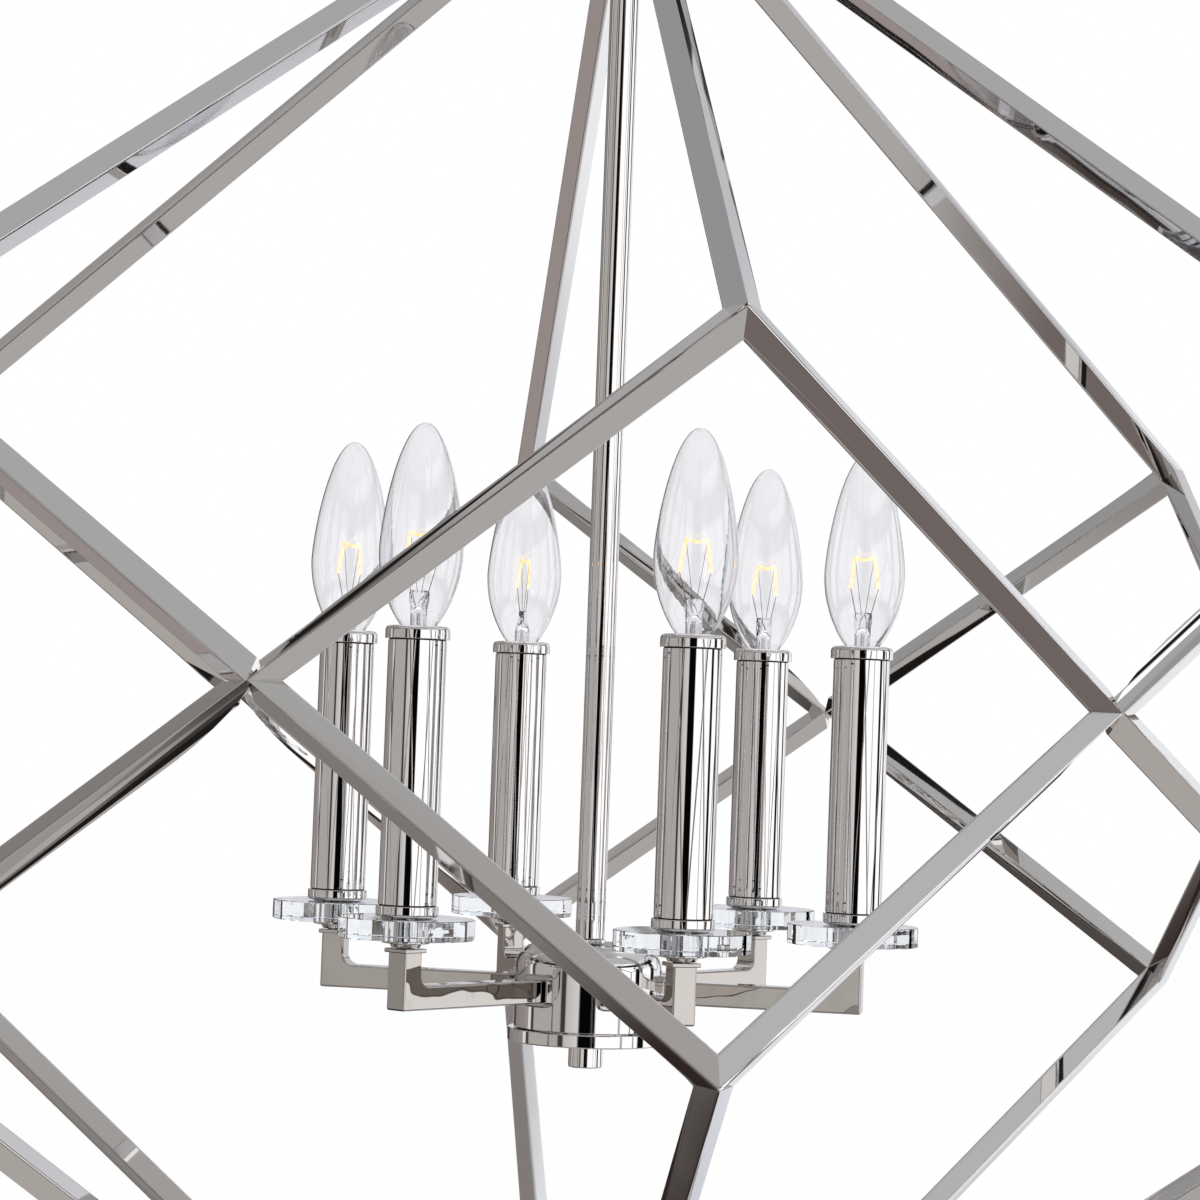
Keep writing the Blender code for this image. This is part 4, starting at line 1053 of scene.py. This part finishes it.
# Matt floor paint: off white, with the fine orange peel of a roller, about 4 mm across.
ROLLER_PEEL = 4.0 * MM
matt_paint, tree, shader = finish_of(
    "matt_floor_paint", Base_Color=linear("#f7f7f6"), Roughness=0.9
)
where = node(tree, "ShaderNodeTexCoord").outputs["Object"]
roller = node(tree, "ShaderNodeTexNoise", Vector=where, Scale=1 / ROLLER_PEEL, Detail=2.0)
relief = node(
    tree, "ShaderNodeBump", Height=roller.outputs["Fac"], Distance=0.2 * MM, Strength=0.2
)
tree.links.new(relief.outputs["Normal"], shader.inputs["Normal"])
floor_mesh.materials.append(matt_paint)
floor = bpy.data.objects.new("floor", floor_mesh)
bpy.context.scene.collection.objects.link(floor)
floor.visible_glossy = False
floor.visible_transmission = False
floor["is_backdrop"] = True


# Studio. White paper all round, as the eye sees it. What the metal reflects is rows of cards and
# cloths hung round it at eight heights: white to the right, grey to the left, black at the camera.

world = bpy.data.worlds.new("studio")
bpy.context.scene.world = world
world.use_nodes = True
tree = world.node_tree
tree.nodes.clear()
CARDS_FACE = math.radians(-7.0)  # azimuth that the cards are counted from, to the right
SOFTBOX = 1.35  # brightness of a white card
FOLD = 0.025  # half the soft border between two rows
way = node(tree, "ShaderNodeTexCoord").outputs["Generated"]
faced = node(
    tree, "ShaderNodeVectorRotate", {"rotation_type": "Z_AXIS"}, Vector=way, Angle=-CARDS_FACE
)
xyz = node(tree, "ShaderNodeSeparateXYZ", Vector=faced.outputs["Vector"])
back = node(
    tree, "ShaderNodeMath", {"operation": "MULTIPLY"}, input_0=xyz.outputs["Y"], input_1=-1.0
)
round_it = node(
    tree, "ShaderNodeMath", {"operation": "ARCTAN2"}, input_0=xyz.outputs["X"],
    input_1=back.outputs[0],
)
around = node(
    tree, "ShaderNodeMapRange", Value=round_it.outputs[0], From_Min=-math.pi, From_Max=math.pi
)

# Each row: the sine of the height where it starts, and its cards, as degrees and colours.
ROWS = (
    (-1.0, ((-180, "#a39f9b"), (180, "#a39f9b"))),
    (-0.9, (
        (-180, "#2d2422"), (180, "#2d2422"), (-118, "#2d2422"), (-95, "#5d5855"), (-50, "#8f8b88"),
        (-30, "#a3a19f"), (30, "#a3a19f"), (36, "#6a6260"), (60, "#6a6260"), (75, "#a3a19f"),
        (120, "#c3c3c8"), (172, "#babfc7"),
    )),
    (-0.57, (
        (-180, "#4a4240"), (180, "#4a4240"), (-162, "#74726f"), (-138, "#74726f"),
        (-125, "#8f8785"), (-104, "#8f8785"), (-100, "#1d1a1a"), (130, "#1d1a1a"),
        (134, "#c3c3c8"), (172, "#babfc7"),
    )),
    (-0.32, (
        (-180, "#c3c3c8"), (180, "#c3c3c8"), (-171, "#c3c3c8"), (-168, "#383331"),
        (-152, "#383331"), (-149, "#7d736f"), (-106, "#8f8c89"), (-104, "#d8d8d6"),
        (-100, "#d8d8d6"), (-98, "#3a3635"), (-94, "#3a3635"), (-91, "#a3a09d"),
        (-43, "#a3a09d"), (-41, "#3a3635"), (-35, "#3a3635"), (-33, "#b5b3b1"),
        (-14, "#c9c7c5"), (-12, "#050505"), (12, "#050505"), (14, "#ffffff"), (49, "#ffffff"),
        (51.5, "#4a4543"), (54, "#ffffff"), (78, "#ffffff"), (80, "#0f0d0d"), (90, "#0f0d0d"),
        (92, "#ffffff"), (113, "#ffffff"), (115, "#1d1a1a"), (123, "#1d1a1a"),
        (126, "#f0f2f4"), (150, "#d6d8dc"),
    )),
    (0.32, (
        (-180, "#b0b1b5"), (180, "#b0b1b5"), (-160, "#959392"), (-138, "#959392"),
        (-122, "#7c7876"), (-104, "#7c7876"), (-100, "#1d1a1a"), (130, "#1d1a1a"),
        (134, "#c3c3c8"), (150, "#b0b1b5"),
    )),
    (0.45, (
        (-180, "#b0b1b5"), (180, "#b0b1b5"), (-160, "#959392"), (-138, "#959392"),
        (-122, "#7c7876"), (-100, "#7c7876"), (-60, "#9b9895"), (-16, "#a8a6a4"), (9, "#a8a6a4"),
        (12, "#f0f0f0"), (60, "#ffffff"), (100, "#d6d8dc"), (150, "#b0b1b5"),
    )),
    (0.57, (
        (-180, "#8b8c8d"), (180, "#8b8c8d"), (-120, "#8b8c8d"), (-60, "#9b9998"), (22, "#9b9998"),
        (34, "#aeafb0"), (90, "#aeafb0"), (140, "#c3c3c8"),
    )),
    (0.9, ((-180, "#a0a2a2"), (180, "#a0a2a2"))),
)
hung = None
for start, cards in ROWS:
    row = node(tree, "ShaderNodeValToRGB", Fac=around.outputs["Result"])
    places = row.color_ramp.elements
    for i, (degrees, card) in enumerate(cards):
        place = (degrees + 180) / 360
        element = places[i] if i < 2 else places.new(place)
        element.position = place
        element.color = linear(card)
    if hung is None:
        hung = row.outputs["Color"]
        continue
    share = node(
        tree, "ShaderNodeMapRange", {"interpolation_type": "SMOOTHSTEP"}, Value=xyz.outputs["Z"],
        From_Min=start - FOLD, From_Max=start + FOLD,
    )
    both = node(
        tree, "ShaderNodeMix", {"data_type": "RGBA"}, Factor=share.outputs["Result"],
        input_6=hung, input_7=row.outputs["Color"],
    )
    hung = both.outputs[2]

in_metal = node(tree, "ShaderNodeBackground", Color=hung, Strength=SOFTBOX)
paper = node(tree, "ShaderNodeBackground", Color=linear("#ffffff"), Strength=1.0)
ray = node(tree, "ShaderNodeLightPath")
through = node(
    tree, "ShaderNodeMath", {"operation": "LESS_THAN"}, input_0=ray.outputs["Glossy Depth"],
    input_1=0.5,
)
clear = node(
    tree, "ShaderNodeMath", {"operation": "MULTIPLY"}, input_0=ray.outputs["Is Transmission Ray"],
    input_1=through.outputs[0],
)
seen = node(
    tree, "ShaderNodeMath", {"operation": "MAXIMUM"}, input_0=ray.outputs["Is Camera Ray"],
    input_1=clear.outputs[0],
)
mixed = node(
    tree, "ShaderNodeMixShader", Fac=seen.outputs[0], input_1=in_metal.outputs[0],
    input_2=paper.outputs[0],
)
node(tree, "ShaderNodeOutputWorld", Surface=mixed.outputs[0])

overhead = bpy.data.lights.new("overhead", "SUN")
overhead.energy = 1.9
overhead.angle = math.radians(120)
overhead_light = bpy.data.objects.new("overhead", overhead)
overhead_light.location = (0, 0, 3)
overhead_light.visible_glossy = False
bpy.context.scene.collection.objects.link(overhead_light)


# Camera. A long lens a step and a half away, level with the bulbs' feet and a touch below the
# cage's waist, so it looks up by two degrees. It frames the candles and cuts the cage's sides.

camera = bpy.data.cameras.new("camera")
camera.lens = 97.8
camera.sensor_width = 36.0
camera.clip_end = 100.0
camera_object = bpy.data.objects.new("camera", camera)
camera_object.location = (-0.1715, -1.4074, -0.6081)
camera_object.rotation_euler = [math.radians(a) for a in (92.245, -2.123, -6.987)]
bpy.context.scene.collection.objects.link(camera_object)
bpy.context.scene.camera = camera_object
bpy.context.scene.view_settings.view_transform = "Standard"

low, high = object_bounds()
